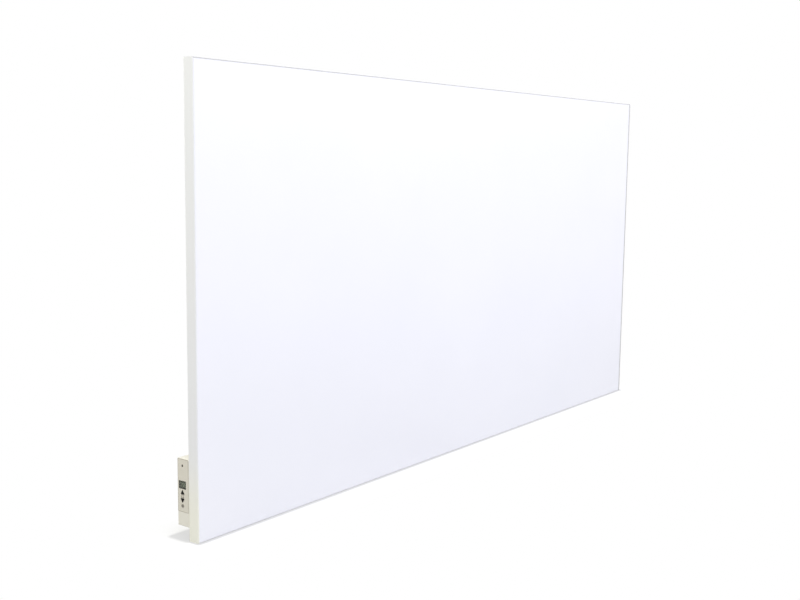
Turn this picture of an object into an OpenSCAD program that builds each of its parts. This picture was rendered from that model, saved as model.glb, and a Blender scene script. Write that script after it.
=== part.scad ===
/* [Panel] */
// Width of the heating panel
panel_w = 1200; // [900:10:1600]
// Height of the heating panel
panel_h = 600; // [480:10:900]
// Depth of the folded front pan
panel_d = 18; // [17:0.5:26]
// Sheet thickness of the front pan
pan_t = 1; // [0.7:0.1:1.4]
// Outside radius of the bends along the front pan's edges
bend_r = 2; // [1.6:0.1:2.6]
// Width of the flange folded in behind the pan
flange_w = 14; // [13:0.5:18]
// Space between the pan and the wall
standoff = 21; // [20:0.5:26]

/* [Air slots] */
// Length of one air slot in the pan's top and bottom walls
slot_l = 28; // [16:1:40]
// Width of one air slot
slot_w = 3.5; // [2:0.5:4]
// Solid metal between two slots of a row
slot_bridge = 8; // [5:1:16]
// Distance between the two rows of slots
slot_row_step = 6; // [5:0.5:7]
// Solid length at each end of a row of slots
slot_end = 40; // [24:2:80]

/* [Rear cover] */
// Sheet thickness of the rear cover
cover_t = 0.8; // [0.6:0.1:1.2]
// Distance from the pan's outline to the rear cover's edge
cover_inset = 3; // [2.6:0.1:4]
// Length of one louvre, without its round ends
louvre_l = 88; // [40:2:110]
// Height of a louvre's hood over the sheet
louvre_r = 4; // [3:0.5:5]
// Flat sheet between two louvres of a row
louvre_gap = 16; // [10:1:30]
// Distance from one row of louvres to the next
louvre_step = 14; // [11:1:18]
// Rows of louvres at the top and again at the bottom
louvre_rows = 3; // [1:1:3]
// Distance from the panel's edge to the nearest louvre
louvre_edge = 36; // [30:1:60]
// Width of a stiffening bead
bead_w = 10; // [8:0.5:14]
// Height of a stiffening bead
bead_rise = 1.6; // [1.2:0.1:2]
// Greatest distance between two screws of the rear cover
cover_screw_step = 280; // [180:10:400]

/* [Wall brackets] */
// Length of a hanging bracket
bracket_h = 80; // [70:1:110]
// Width of a bracket's raised crown
bracket_crown = 40; // [34:1:50]
// Width of a bracket's foot
bracket_foot = 14; // [12:0.5:18]
// Sheet thickness of a bracket
bracket_t = 1.5; // [1.2:0.1:2]
// Outside radius of a bracket's bends
bracket_bend = 2.5; // [2.2:0.1:4]
// Height of the bracket's middle over the panel's edge
bracket_edge = 150; // [145:1:170]
// Radius of a keyhole's round entry
keyhole_r = 5; // [4.5:0.1:6]
// Width of a keyhole's slot
keyhole_slot_w = 5; // [4:0.2:5]
// Length of a keyhole from the entry's middle to the slot's end
keyhole_l = 16; // [12:1:20]
// Radius of a bracket's rivets
rivet_r = 2.4; // [2:0.1:2.5]

/* [Heating element] */
// Distance from the panel's outline to the element's edge
element_edge = 30; // [26:1:50]
// Thickness of each mica sheet
mica_t = 0.8; // [0.5:0.1:1]
// Thickness of the heating ribbon
ribbon_t = 0.3; // [0.2:0.05:0.5]
// Width of the heating ribbon
ribbon_w = 8; // [5:0.5:12]
// Distance between two runs of the ribbon
ribbon_pitch = 46; // [40:1:56]
// Height of the strip that stays free of ribbon for the cut-out
cutout_strip = 27; // [26:1:40]
// Length of the spacers between the element and the heat shield
spacer_l = 5; // [4.6:0.1:5.2]
// Radius of a spacer
spacer_r = 4; // [3.4:0.1:5]
// Thickness of the heat shield
shield_t = 0.5; // [0.4:0.1:0.8]
// Depth of the rails that carry the element
rail_d = 5; // [4.5:0.1:5.2]
// Sheet thickness of a rail
rail_t = 0.8; // [0.6:0.1:1]
// Width of a rail's crown
rail_crown = 16; // [14:1:20]
// Width of a rail's foot
rail_foot = 10; // [8:1:12]
// Greatest distance between two spacers of a rail
spacer_step = 150; // [100:10:200]
// Radius of the element's screws
element_screw_r = 2; // [1.5:0.1:2.2]

/* [Control unit] */
// Length of the control housing along the panel
control_l = 160; // [152:1:180]
// Height of the control housing
control_h = 88; // [86:1:100]
// Height of the housing over the panel's bottom edge
control_z = 17; // [15.5:0.5:19]
// Clearance between the housing and the wall
wall_gap = 0.5; // [0.3:0.1:1.5]
// Wall thickness of the housing
case_t = 2; // [1.8:0.1:2.4]
// Corner radius of the housing
case_r = 1.2; // [1:0.1:2.5]
// Thickness of the base plate under the electronics
base_t = 1.5; // [1.2:0.1:1.8]
// Height of the keypad's face plate
plate_h = 69; // [68:0.5:69.5]
// Thickness of the face plate
plate_t = 0.4; // [0.3:0.05:0.6]
// Margin between the face plate and the housing's edges
plate_edge = 0.5; // [0.3:0.1:0.8]
// Radius of the screws that hold the housing
case_screw_r = 1.5; // [1.25:0.05:1.75]

/* [Display and keys] */
// Width of the display window
window_w = 11.8; // [10:0.1:12]
// Height of the display window
window_h = 9.4; // [8:0.1:10]
// Thickness of the display window
window_t = 1.2; // [0.8:0.1:1.4]
// Radius of the indicator lamp
lamp_r = 1.5; // [1:0.1:1.5]
// Width of an arrow key
arrow_w = 6.2; // [4.4:0.1:6.6]
// Height of an arrow key
arrow_h = 5.2; // [3.8:0.1:5.4]
// Side of the square set key
set_key_w = 2.6; // [2:0.1:2.8]
// Radius of the round power key
power_key_r = 2; // [1.5:0.1:2.2]
// Distance between the middles of the arrow keys and the set key
key_pitch = 5.6; // [5.4:0.1:5.8]
// How far a key stands out of the face plate
key_rise = 0.6; // [0.55:0.05:0.8]
// How far a key travels
key_travel = 0.5; // [0.3:0.05:0.5]
// Depth from the housing's face to the keypad's circuit board
keypad_depth = 6.8; // [6.6:0.1:7.4]
// Thickness of both circuit boards
board_t = 1.6; // [1:0.1:1.6]

/* [Cord entry] */
// Radius of the cord entry's mouth
cord_r = 3.6; // [3:0.1:3.8]
// Radius of the gland's thread
gland_r = 6; // [5.6:0.1:6.4]
// Radius of the leads inside the heater
lead_r = 1.2; // [0.9:0.1:1.3]

/* [Hidden] */
$fn = 48;

// Clearance round and behind a part that moves
move_gap = 0.3;
// Clearance of a plunger in its switch
run_gap = 0.05;
// Clearance of a part that is laid in or pushed in
fit_gap = 0.2;
// Clearance of a screw or rivet in the hole that it grips
grip_gap = 0.05;
// Clearance of a screw in a plain hole
pass_gap = 0.25;
// Overrun of a cutter past the surface it leaves
over = 1;

// Front, back and wall planes, with the origin midway between the front and the wall
y_front = -(panel_d + standoff) / 2;
y_back = y_front + panel_d;
y_wall = y_back + standoff;
y_cover = y_back + cover_t;
x_side = panel_w / 2;

// Rear cover
cover_screw_r = 2;
cover_screw_head_r = 3.8;
cover_screw_head_h = 2.2;
cover_screw_inset = (flange_w + cover_inset) / 2;
cover_corner_inset = 60;
cover_span_x = panel_w - 2 * cover_corner_inset;
cover_count_x = ceil(cover_span_x / cover_screw_step) + 1;
cover_count_z = max(1, ceil(panel_h / cover_screw_step) - 1);

// Element stack, from the rear cover towards the front
y_rail = y_back - rail_d;
y_shield = y_rail - shield_t;
y_element = y_shield - spacer_l;
y_ribbon = y_element - mica_t;
y_sheet = y_ribbon - ribbon_t;
y_element_front = y_sheet - mica_t;
rail_bend = rail_t * 2;
rail_half = rail_crown / 2 + rail_foot;
element_head_h = 1.6;
element_head_r = 3.4;
element_screw_end = 1.4;

// Runs of the heating ribbon, in pairs so that both ends lie at the bottom
ribbon_side = 8;
ribbon_field = panel_w - 2 * element_edge - 2 * ribbon_side - ribbon_w;
ribbon_pairs = floor((ribbon_field + ribbon_pitch) / (2 * ribbon_pitch));
ribbon_runs = 2 * ribbon_pairs;
ribbon_turn = ribbon_pitch / 2;
ribbon_first_x = -(ribbon_runs - 1) / 2 * ribbon_pitch;
ribbon_return_z = element_edge + ribbon_side + ribbon_w;
ribbon_low_z = ribbon_return_z + cutout_strip + ribbon_w + ribbon_turn;
ribbon_high_z = panel_h - element_edge - ribbon_side - ribbon_w / 2 - ribbon_turn;

// Rails and brackets stand between two runs of the ribbon
bracket_rail_gap = 8;
bracket_half = bracket_crown / 2 + bracket_foot;
outer_rail_x = (ribbon_pairs - 2) * ribbon_pitch;
inner_rail_x = round(ribbon_pairs / 4) * ribbon_pitch;
bracket_x = outer_rail_x - rail_half - bracket_rail_gap - bracket_half;
bracket_d = y_wall - y_cover;
rivet_head_r = 1.8 * rivet_r;
rivet_head_h = 0.55 * rivet_r;
rivet_z = bracket_h / 2 - 2.4 * rivet_head_r;
rivet_x = bracket_crown / 2 + bracket_foot / 2 + 0.8;
louvre_zone = louvre_edge + louvre_rows * louvre_step;
rail_end_gap = 8;
rail_low_z = max(louvre_zone, control_z + control_h) + rail_end_gap;
rail_high_z = panel_h - rail_low_z;
rail_end_hole = 30;
spacer_count = ceil((rail_high_z - rail_low_z - 2 * rail_end_hole) / spacer_step) + 1;
spacer_z = [for (i = [0:spacer_count - 1])
    rail_low_z + rail_end_hole + i * (rail_high_z - rail_low_z - 2 * rail_end_hole) / (spacer_count - 1)];
louvre_half = bracket_x - bracket_half;
louvre_pitch = louvre_l + 2 * louvre_r + louvre_gap;
louvre_count = floor((2 * louvre_half + louvre_gap) / louvre_pitch);
bead_x = (inner_rail_x + rail_half + bracket_x - bracket_half) / 2;
bead_end = 34;

// Control housing, from its face on the panel's side
x_face = -x_side + key_rise;
x_case = x_face + control_l;
x_wall_in = x_face + case_t;
y_case = y_wall - wall_gap;
y_case_in = y_case - case_t;
z_case = control_z + control_h;
boss_r = 3.6;
boss_gap = 1.4;
boss_face_gap = 18;
boss_left_x = x_face + boss_face_gap;
boss_right_x = x_case - case_t - boss_r - boss_gap;
boss_low_z = control_z + case_t + boss_r + boss_gap;
boss_high_z = z_case - case_t - boss_r - boss_gap;
screw_head_r = 2 * case_screw_r;
screw_head_h = 1.6;
screw_sink = 1;
y_screw_head = y_case - screw_head_h - screw_sink;
screw_bite = 3;
y_base = y_cover + base_t;

// Face plate and what shows in it
plate_top_z = z_case - plate_edge;
plate_low_z = plate_top_z - plate_h;
plate_r = 1;
face_shift = 1.15;
face_y = (y_back + y_case) / 2 + face_shift;
lamp_drop = 8.7;
window_drop = 33.6;
set_drop = 10.2;
power_drop = 6.9;
lamp_z = plate_top_z - lamp_drop;
window_z = plate_top_z - window_drop;
set_z = window_z - window_h / 2 - set_drop;
up_z = set_z + key_pitch;
down_z = set_z - key_pitch;
power_z = down_z - power_drop;
window_ledge = 0.8;

// Keypad board with its switches, behind the face
x_keypad = x_face + keypad_depth;
keypad_low_gap = 1;
keypad_high_gap = 3;
keypad_side_gap = 0.5;
keypad_low_z = plate_low_z + keypad_low_gap;
keypad_high_z = plate_top_z - keypad_high_gap;
keypad_y0 = y_base + keypad_side_gap;
keypad_y1 = y_case_in - keypad_side_gap;
keypad_r = 0.8;
post_r = 1.8;
post_power_gap = 4.8;
post_window_gap = 15;
post_low_z = power_z - post_power_gap;
post_high_z = window_z + post_window_gap;
keypad_screw_r = 0.9;
keypad_screw_bite = 2.6;
keypad_screw_head_h = 1.2;
key_flange_t = 0.8;
key_flange_r = key_pitch / 2 - move_gap;
power_flange_r = power_key_r + 0.8;
lamp_flange_t = 1.2;
lamp_flange_r = lamp_r + 0.4;
x_flange = x_wall_in + move_gap;
x_flange_in = x_flange + key_flange_t;
switch_h = 1.8;
switch_w = 2.8;
switch_l = 4.2;
plunger_r = 0.95;
x_switch = x_keypad - switch_h;
plunger_depth = 0.5;
display_w = 13;
display_h = 12.2;
sensor_r = 1.4;
sensor_leg_r = 0.3;
sensor_rise = 8;
sensor_z = control_z + sensor_rise;

// Power board with its parts, on the base plate
board_gap = 2;
y_board = y_base + board_gap;
y_parts = y_board + board_t;
board_boss_gap = 2;
board_wall_gap = 3;
bay_l = 50.4;
board_x0 = boss_left_x + boss_r + board_boss_gap;
board_x1 = x_case - bay_l;
board_z0 = control_z + case_t + board_wall_gap;
board_z1 = z_case - case_t - board_wall_gap;
board_hole = 4;
board_hole_x = [board_x0 + board_hole, board_x1 - board_hole];
board_hole_z = [board_z0 + board_hole, board_z1 - board_hole];
board_holes = [for (x = board_hole_x, z = board_hole_z) [x, 0, z]];
board_screw_r = 1.2;
board_screw_head_h = 1.4;
board_screw_bite = 0.3;
parts_gap = 0.6;
part_h = y_case_in - y_parts - parts_gap;
part_inset = 8;
terminal_count = 3;
terminal_d = 12;
terminal_l = 30;
terminal_h = 9;
terminal_edge = 2;
terminal_x0 = board_x1 - terminal_d - terminal_edge;
terminal_z0 = board_z0 + part_inset;
terminal_pole = terminal_l / terminal_count;
well_r = 2.4;
well_d = 4;
well_screw_h = 2.6;
well_slot_w = 0.8;
well_slot_d = 1;
relay_l = 22;
relay_w = 16;
relay_x0 = board_x0 + part_inset;
relay_z0 = board_z1 - part_inset - relay_w;
supply_l = 34;
supply_w = 20;
supply_shift = 2;
supply_x0 = relay_x0 + supply_shift;
supply_z0 = board_z0 + part_inset;

// Wiring bay beside the power board
grommet_inset = 24;
grommet_x = board_x1 + grommet_inset;
grommet_z = z_case - grommet_inset;
grommet_hole_r = 7;
grommet_lip = 1.6;
grommet_bore_r = 5;
stud_shift = 8;
stud_drop = 26;
stud_x = grommet_x + stud_shift;
stud_z = grommet_z - stud_drop;
stud_r = 2;
stud_l = 9;
stud_nut_h = 3;
stud_clear = 2;
gland_y = (y_cover + y_case) / 2;
gland_rise = 20;
gland_z = control_z + gland_rise;
gland_hex_r = 1.4 * gland_r;
gland_collar = 3;
gland_nut_t = 3;
gland_tail = 1.5;
gland_cap_l = 9;
gland_mouth_l = 2.5;
gland_seal_l = 4;
gland_seal_t = 1.1;
gland_bore_r = cord_r + 0.6;
gland_seat_r = cord_r + 1.4;
x_cap = x_case + gland_collar + fit_gap;
x_cap_end = x_cap + gland_cap_l;
x_seal_end = x_cap_end - gland_mouth_l;
x_seal = x_seal_end - gland_seal_l;

// Terminals of the element and the cut-out wired between them
terminal_rise = 20;
terminal_1 = [ribbon_first_x, ribbon_return_z + terminal_rise];
terminal_2 = [ribbon_first_x + ribbon_pitch, ribbon_return_z];
notch_side_gap = 40;
notch_top_gap = 14;
notch_rail_lap = 10;
shield_notch_x = grommet_x + notch_side_gap;
shield_notch_z = min(z_case + notch_top_gap, rail_low_z + notch_rail_lap);
cutout_w = 20;
cutout_h = 8;
cutout_d = 3.8;
cutout_r = 1.2;
cutout_shift = 26;
cutout_x = terminal_2[0] + cutout_shift;
cutout_z = ribbon_return_z + (ribbon_w + cutout_strip) / 2;
cutout_leg = 3;
cutout_leg_r = 0.7;
clip_t = 0.5;
clip_w = 6;
clip_foot = 7;
tab_t = 0.8;
tab_half = 3.2;
tab_l = 9;
tab_r = 1.2;
tab_head_h = 0.8;
y_tab = y_element + tab_t;
lead_bend = 2 * lead_r;
lead_spread = 2 * lead_r;
lead_y = y_element + lead_r + 1.6;
lead_high_y = y_tab + 4.4;
lead_bay_y = y_parts + 6;
lead_bay_step = 3;
lead_board_inset = 6;
live_drop = 14;
neutral_drop = 20;
leg_reach = 10;
link_reach = 5;
solder_shift = 6;

// Plain shapes

module round_rect(a0, a1, b0, b1, r) {
    translate([a0 + r, b0]) square([a1 - a0 - 2 * r, b1 - b0]);
    translate([a0, b0 + r]) square([a1 - a0, b1 - b0 - 2 * r]);
    for (a = [a0 + r, a1 - r], b = [b0 + r, b1 - r]) translate([a, b]) circle(r);
}

module slot_shape(l, w) {
    square([l - w, w], center = true);
    for (s = [-1, 1]) translate([s * (l - w) / 2, 0]) circle(w / 2);
}

// A flat shape drawn in X and Z, thickened from y0 towards the wall
module plate_y(y0, t) {
    translate([0, y0 + t, 0]) rotate([90, 0, 0]) linear_extrude(t) children();
}

// A flat shape drawn in Y and Z, thickened from x0 to the right
module plate_x(x0, t) {
    translate([x0, 0, 0]) rotate([90, 0, 90]) linear_extrude(t) children();
}

// A flat shape drawn in X and Y, thickened upwards from z0
module plate_z(z0, t) {
    translate([0, 0, z0]) linear_extrude(t) children();
}

module box(x0, x1, y0, y1, z0, z1) {
    translate([x0, y0, z0]) cube([x1 - x0, y1 - y0, z1 - z0]);
}

module rod_x(y, z, x0, x1, r) {
    translate([x0, y, z]) rotate([0, 90, 0]) cylinder(h = x1 - x0, r = r);
}

module rod_y(x, z, y0, y1, r) {
    translate([x, y0, z]) rotate([-90, 0, 0]) cylinder(h = y1 - y0, r = r);
}

// A block folded from sheet: round along its long edges, mitred at its corners
module bent_block(x0, x1, y0, y1, z0, z1, r) {
    intersection() {
        plate_x(x0, x1 - x0) round_rect(y0, y1, z0, z1, r);
        plate_z(z0, z1 - z0) round_rect(x0, x1, y0, y1, r);
    }
}

// A bar along X with round ends
module capsule(l, r) {
    translate([-l / 2, 0, 0]) rotate([0, 90, 0]) cylinder(h = l, r = r);
    for (s = [-1, 1]) translate([s * l / 2, 0, 0]) sphere(r);
}

// A shallow dome on z = 0
module dome(r, h) {
    big = (r * r + h * h) / (2 * h);
    intersection() {
        translate([0, 0, h - big]) sphere(big);
        cylinder(h = h, r = r);
    }
}

// A pan head on z = 0 with a cross recess, and its shank below
module pan_screw(head_r, head_h, shank_r, shank_l) {
    recess_l = 1.1 * head_r;
    recess_w = 0.22 * head_r;
    recess_d = 0.5 * head_h;
    difference() {
        dome(head_r, head_h);
        for (a = [0, 90]) rotate(a) translate([-recess_l / 2, -recess_w / 2, head_h - recess_d])
            cube([recess_l, recess_w, head_h]);
    }
    translate([0, 0, -shank_l]) cylinder(h = shank_l + recess_d / 2, r = shank_r);
}

// Section of a hat channel bent from sheet: feet on y = 0, crown at y = d
module hat_section(crown, d, foot, t, r) {
    f = r - t;
    difference() {
        union() {
            translate([-crown / 2, 0]) square([crown, d - r]);
            translate([-crown / 2 + r, 0]) square([crown - 2 * r, d]);
            for (s = [-1, 1]) translate([s * (crown / 2 - r), d - r]) circle(r);
            translate([-crown / 2 - foot, 0]) square([crown + 2 * foot, t]);
            for (s = [0, 1]) mirror([s, 0]) translate([crown / 2, t]) difference() {
                square(f);
                translate([f, f]) circle(f);
            }
        }
        translate([-crown / 2 + t, -over]) square([crown - 2 * t, d - r + over]);
        translate([-crown / 2 + r, -over]) square([crown - 2 * r, d - t + over]);
        for (s = [-1, 1]) translate([s * (crown / 2 - r), d - r]) circle(f);
        for (s = [0, 1]) mirror([s, 0]) translate([crown / 2 - t, 0]) difference() {
            translate([-over, -over]) square([r + over, r + over]);
            translate([r, r]) circle(r);
            translate([-2 * over, -2 * over]) square([2 * over, r + 4 * over]);
            translate([0, r]) square([r, 2 * over]);
        }
    }
}

// Round tube along a route whose corners turn at a bend radius
function unit(v) = v / norm(v);
function corner(a, b, c, r, steps) =
    let (u = unit(a - b), v = unit(c - b), half = acos(u * v) / 2,
         back = r / tan(half), centre = b + unit(u + v) * r / sin(half))
    [for (i = [0:steps]) centre + unit(b + u * back * (1 - i / steps) + v * back * i / steps - centre) * r];
function rounded_route(p, r) = concat([p[0]],
    [for (i = [1:len(p) - 2]) each corner(p[i - 1], p[i], p[i + 1], r, 4)], [p[len(p) - 1]]);
function direction(p, i) = unit(p[min(i + 1, len(p) - 1)] - p[max(i - 1, 0)]);
function across(p, i, n) = unit(n - (n * direction(p, i)) * direction(p, i));
function sideways(p, i, n) = i == len(p) ? [] :
    let (m = across(p, i, n)) concat([m], sideways(p, i + 1, m));

module lead_tube(route) {
    sides = 8;
    p = rounded_route(route, lead_bend);
    n = sideways(p, 0, unit([0.31, 0.52, 0.79]));
    rings = [for (i = [0:len(p) - 1], k = [0:sides - 1])
        let (a = 360 * k / sides, b = cross(direction(p, i), n[i]))
        p[i] + lead_r * (n[i] * cos(a) + b * sin(a))];
    last = sides * (len(p) - 1);
    walls = [for (i = [0:len(p) - 2], k = [0:sides - 1], h = [0, 1])
        let (a = i * sides + k, b = i * sides + (k + 1) % sides)
        h == 0 ? [a, a + sides, b] : [b, a + sides, b + sides]];
    ends = [[for (k = [0:sides - 1]) k], [for (k = [0:sides - 1]) last + sides - 1 - k]];
    polyhedron(points = rings, faces = concat(walls, ends));
}

// Places where the same screw, spacer or rivet comes back

module at_cover_screws() {
    for (i = [0:cover_count_x - 1], z = [cover_screw_inset, panel_h - cover_screw_inset])
        translate([-cover_span_x / 2 + i * cover_span_x / (cover_count_x - 1), 0, z]) children();
    for (i = [1:cover_count_z], s = [-1, 1])
        translate([s * (x_side - cover_screw_inset), 0, i * panel_h / (cover_count_z + 1)]) children();
}

module at_spacers() {
    for (x = [-outer_rail_x, -inner_rail_x, inner_rail_x, outer_rail_x], z = spacer_z)
        translate([x, 0, z]) children();
}

module at_brackets() {
    for (s = [-1, 1], z = [bracket_edge, panel_h - bracket_edge]) translate([s * bracket_x, 0, z]) children();
}

module at_rivets() {
    for (s = [-1, 1], z = [-rivet_z, rivet_z]) translate([s * rivet_x, 0, z]) children();
}

module at_case_screws() {
    for (x = [boss_left_x, boss_right_x], z = [boss_low_z, boss_high_z]) translate([x, 0, z]) children();
}

module at_board_screws() {
    for (p = board_holes) translate(p) children();
}

// Panel

module front_panel() {
    slot_step = slot_l + slot_bridge;
    slot_count = floor((panel_w - 2 * slot_end + slot_bridge) / slot_step);
    flange_x = x_side - flange_w;
    color("white") difference() {
        bent_block(-x_side, x_side, y_front, y_back, 0, panel_h, bend_r);
        bent_block(-x_side + pan_t, x_side - pan_t, y_front + pan_t, y_back - pan_t,
            pan_t, panel_h - pan_t, bend_r - pan_t);
        box(-flange_x, flange_x, y_back - 2 * pan_t, y_back + over, flange_w, panel_h - flange_w);
        plate_z(-over, panel_h + 2 * over)
            for (row = [0, 1], i = [0:slot_count - 1 - row])
                translate([(i - (slot_count - 1 - row) / 2) * slot_step,
                    (y_front + y_back) / 2 + (row - 0.5) * slot_row_step])
                    slot_shape(slot_l, slot_w);
        at_cover_screws() rod_y(0, 0, y_back - 2 * pan_t, y_back + over, cover_screw_r + grip_gap);
    }
}

// Outside of a louvre's hood: a quarter of a bar with round ends, open below
module louvre_hood() {
    intersection() {
        capsule(louvre_l, louvre_r);
        translate([-louvre_l, 0, 0]) cube([2 * louvre_l, 2 * louvre_r, 2 * louvre_r]);
    }
}

// Inside of a hood, and the slightly narrower slit under it through the sheet
module louvre_opening() {
    r = louvre_r - cover_t;
    slit_r = r - 0.3;
    deep = cover_t + over;
    intersection() {
        union() {
            intersection() {
                capsule(louvre_l, r);
                translate([-louvre_l, 0, -r]) cube([2 * louvre_l, r, 2 * r]);
            }
            plate_y(-deep, deep + cover_t / 4) slot_shape(louvre_l + 2 * slit_r, 2 * slit_r);
        }
        translate([-louvre_l, -2 * deep, -cover_t / 2]) cube([2 * louvre_l, 2 * deep + 2 * r, 2 * r]);
    }
}

module at_louvres() {
    for (i = [0:louvre_count - 1], k = [0:louvre_rows - 1], top = [0, 1])
        translate([(i - (louvre_count - 1) / 2) * louvre_pitch, y_cover,
            (top ? panel_h - louvre_edge - louvre_r - k * louvre_step : louvre_edge + k * louvre_step)])
            children();
}

module bead_bar(shrink) {
    big = (bead_w * bead_w / 4 + bead_rise * bead_rise) / (2 * bead_rise);
    half_end = bead_w / 2;
    for (x = [-bead_x, 0, bead_x])
        translate([x, y_cover + bead_rise - big, panel_h / 2]) rotate([0, 90, 0])
            capsule(rail_high_z - rail_low_z - 2 * bead_end - 2 * half_end, big - shrink);
}

module rear_cover() {
    edge_x = x_side - cover_inset;
    color("gainsboro") difference() {
        union() {
            box(-edge_x, edge_x, y_back, y_cover, cover_inset, panel_h - cover_inset);
            at_louvres() louvre_hood();
            intersection() {
                bead_bar(0);
                box(-edge_x, edge_x, y_back + cover_t / 2, y_wall, cover_inset, panel_h - cover_inset);
            }
        }
        at_louvres() louvre_opening();
        bead_bar(cover_t);
        at_cover_screws() rod_y(0, 0, y_back - over, y_cover + over, cover_screw_r + pass_gap);
        at_brackets() at_rivets() rod_y(0, 0, y_back - over, y_cover + over, rivet_r + grip_gap);
        at_case_screws() rod_y(0, 0, y_back - over, y_cover + over, case_screw_r + grip_gap);
        rod_y(grommet_x, grommet_z, y_back - over, y_cover + over, grommet_hole_r);
    }
}

module rear_cover_screws() {
    color("silver") at_cover_screws() translate([0, y_cover, 0]) rotate([-90, 0, 0])
        pan_screw(cover_screw_head_r, cover_screw_head_h, cover_screw_r, cover_t + pan_t + 6);
}

// Wall brackets

module bracket() {
    color("lightgray") translate([0, y_cover, 0]) difference() {
        translate([0, 0, -bracket_h / 2]) linear_extrude(bracket_h)
            hat_section(bracket_crown, bracket_d, bracket_foot, bracket_t, bracket_bend);
        translate([0, 0, -keyhole_l / 2]) {
            rod_y(0, 0, bracket_d - 2 * bracket_t, bracket_d + over, keyhole_r);
            rod_y(0, keyhole_l, bracket_d - 2 * bracket_t, bracket_d + over, keyhole_slot_w / 2);
            box(-keyhole_slot_w / 2, keyhole_slot_w / 2,
                bracket_d - 2 * bracket_t, bracket_d + over, 0, keyhole_l);
        }
        at_rivets() rod_y(0, 0, -over, bracket_t + over, rivet_r + grip_gap);
    }
}

module lower_left_bracket() {
    translate([-bracket_x, 0, bracket_edge]) bracket();
}

module lower_right_bracket() {
    translate([bracket_x, 0, bracket_edge]) bracket();
}

module upper_left_bracket() {
    translate([-bracket_x, 0, panel_h - bracket_edge]) bracket();
}

module upper_right_bracket() {
    translate([bracket_x, 0, panel_h - bracket_edge]) bracket();
}

module bracket_rivets() {
    upset = 0.5 * rivet_r;
    color("silver") at_brackets() at_rivets() {
        rod_y(0, 0, y_back - upset, y_cover + bracket_t + rivet_head_h / 2, rivet_r);
        rod_y(0, 0, y_back - upset, y_back, 1.4 * rivet_r);
        translate([0, y_cover + bracket_t, 0]) rotate([-90, 0, 0]) dome(rivet_head_r, rivet_head_h);
    }
}

// Heating element and what carries it

module element_rail() {
    color("silver") difference() {
        translate([0, y_back, rail_low_z]) mirror([0, 1, 0]) linear_extrude(rail_high_z - rail_low_z)
            hat_section(rail_crown, rail_d, rail_foot, rail_t, rail_bend);
        for (z = spacer_z)
            rod_y(0, z, y_rail - over, y_rail + rail_t + over, element_screw_r + grip_gap);
    }
}

module outer_left_rail() {
    translate([-outer_rail_x, 0, 0]) element_rail();
}

module inner_left_rail() {
    translate([-inner_rail_x, 0, 0]) element_rail();
}

module inner_right_rail() {
    translate([inner_rail_x, 0, 0]) element_rail();
}

module outer_right_rail() {
    translate([outer_rail_x, 0, 0]) element_rail();
}

module heat_shield() {
    edge_x = x_side - element_edge;
    color("silver") difference() {
        box(-edge_x, edge_x, y_shield, y_rail, element_edge, panel_h - element_edge);
        box(-x_side, shield_notch_x, y_shield - over, y_rail + over, 0, shield_notch_z);
        at_spacers() rod_y(0, 0, y_shield - over, y_rail + over, element_screw_r + pass_gap);
    }
}

module element_spacers() {
    color("ivory") at_spacers() difference() {
        rod_y(0, 0, y_element, y_shield, spacer_r);
        rod_y(0, 0, y_element - over, y_shield + over, element_screw_r + pass_gap);
    }
}

module element_sheet(y0) {
    edge_x = x_side - element_edge;
    color("burlywood") difference() {
        box(-edge_x, edge_x, y0, y0 + mica_t, element_edge, panel_h - element_edge);
        at_spacers() rod_y(0, 0, y0 - over, y0 + mica_t + over, element_screw_r + pass_gap);
        at_terminals() rod_y(0, 0, y0 - over, y0 + mica_t + over, lead_r + grip_gap);
        at_clip_feet() rod_y(0, 0, y0 - over, y0 + mica_t + over, lead_r + grip_gap);
    }
}

module element_back_sheet() {
    element_sheet(y_ribbon);
}

module element_front_sheet() {
    element_sheet(y_element_front);
}

// Half of a ribbon's turn, open downwards
module ribbon_turn_shape() {
    difference() {
        circle(ribbon_turn + ribbon_w / 2);
        circle(ribbon_turn - ribbon_w / 2);
        translate([-2 * ribbon_turn, -2 * ribbon_turn]) square([4 * ribbon_turn, 2 * ribbon_turn]);
    }
}

module ribbon_shape() {
    half = ribbon_w / 2;
    last_x = -ribbon_first_x;
    for (i = [0:ribbon_runs - 1]) {
        low = i == 0 ? terminal_1[1] : (i == ribbon_runs - 1 ? ribbon_return_z + ribbon_turn : ribbon_low_z);
        translate([ribbon_first_x + i * ribbon_pitch - half, low]) square([ribbon_w, ribbon_high_z - low]);
    }
    for (i = [0:ribbon_pairs - 1])
        translate([ribbon_first_x + (2 * i + 0.5) * ribbon_pitch, ribbon_high_z]) ribbon_turn_shape();
    for (i = [0:ribbon_pairs - 2])
        translate([ribbon_first_x + (2 * i + 1.5) * ribbon_pitch, ribbon_low_z])
            mirror([0, 1]) ribbon_turn_shape();
    translate([last_x - ribbon_turn, ribbon_return_z + ribbon_turn]) intersection() {
        mirror([0, 1]) ribbon_turn_shape();
        translate([0, -2 * ribbon_turn]) square(2 * ribbon_turn);
    }
    translate([terminal_2[0], ribbon_return_z - half])
        square([last_x - ribbon_turn - terminal_2[0], ribbon_w]);
    for (t = [terminal_1, terminal_2]) translate(t) circle(half);
}

module heating_ribbon() {
    color("dimgray") difference() {
        plate_y(y_sheet, ribbon_t) ribbon_shape();
        at_terminals() rod_y(0, 0, y_sheet - over, y_ribbon + over, lead_r + grip_gap);
    }
}

module element_screws() {
    screw_l = y_rail + rail_t + element_screw_end - y_element_front;
    color("silver") at_spacers() translate([0, y_element_front, 0]) rotate([90, 0, 0])
        pan_screw(element_head_r, element_head_h, element_screw_r, screw_l);
}

module at_terminals() {
    for (t = [terminal_1, terminal_2]) translate([t[0], 0, t[1]]) children();
}

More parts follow.
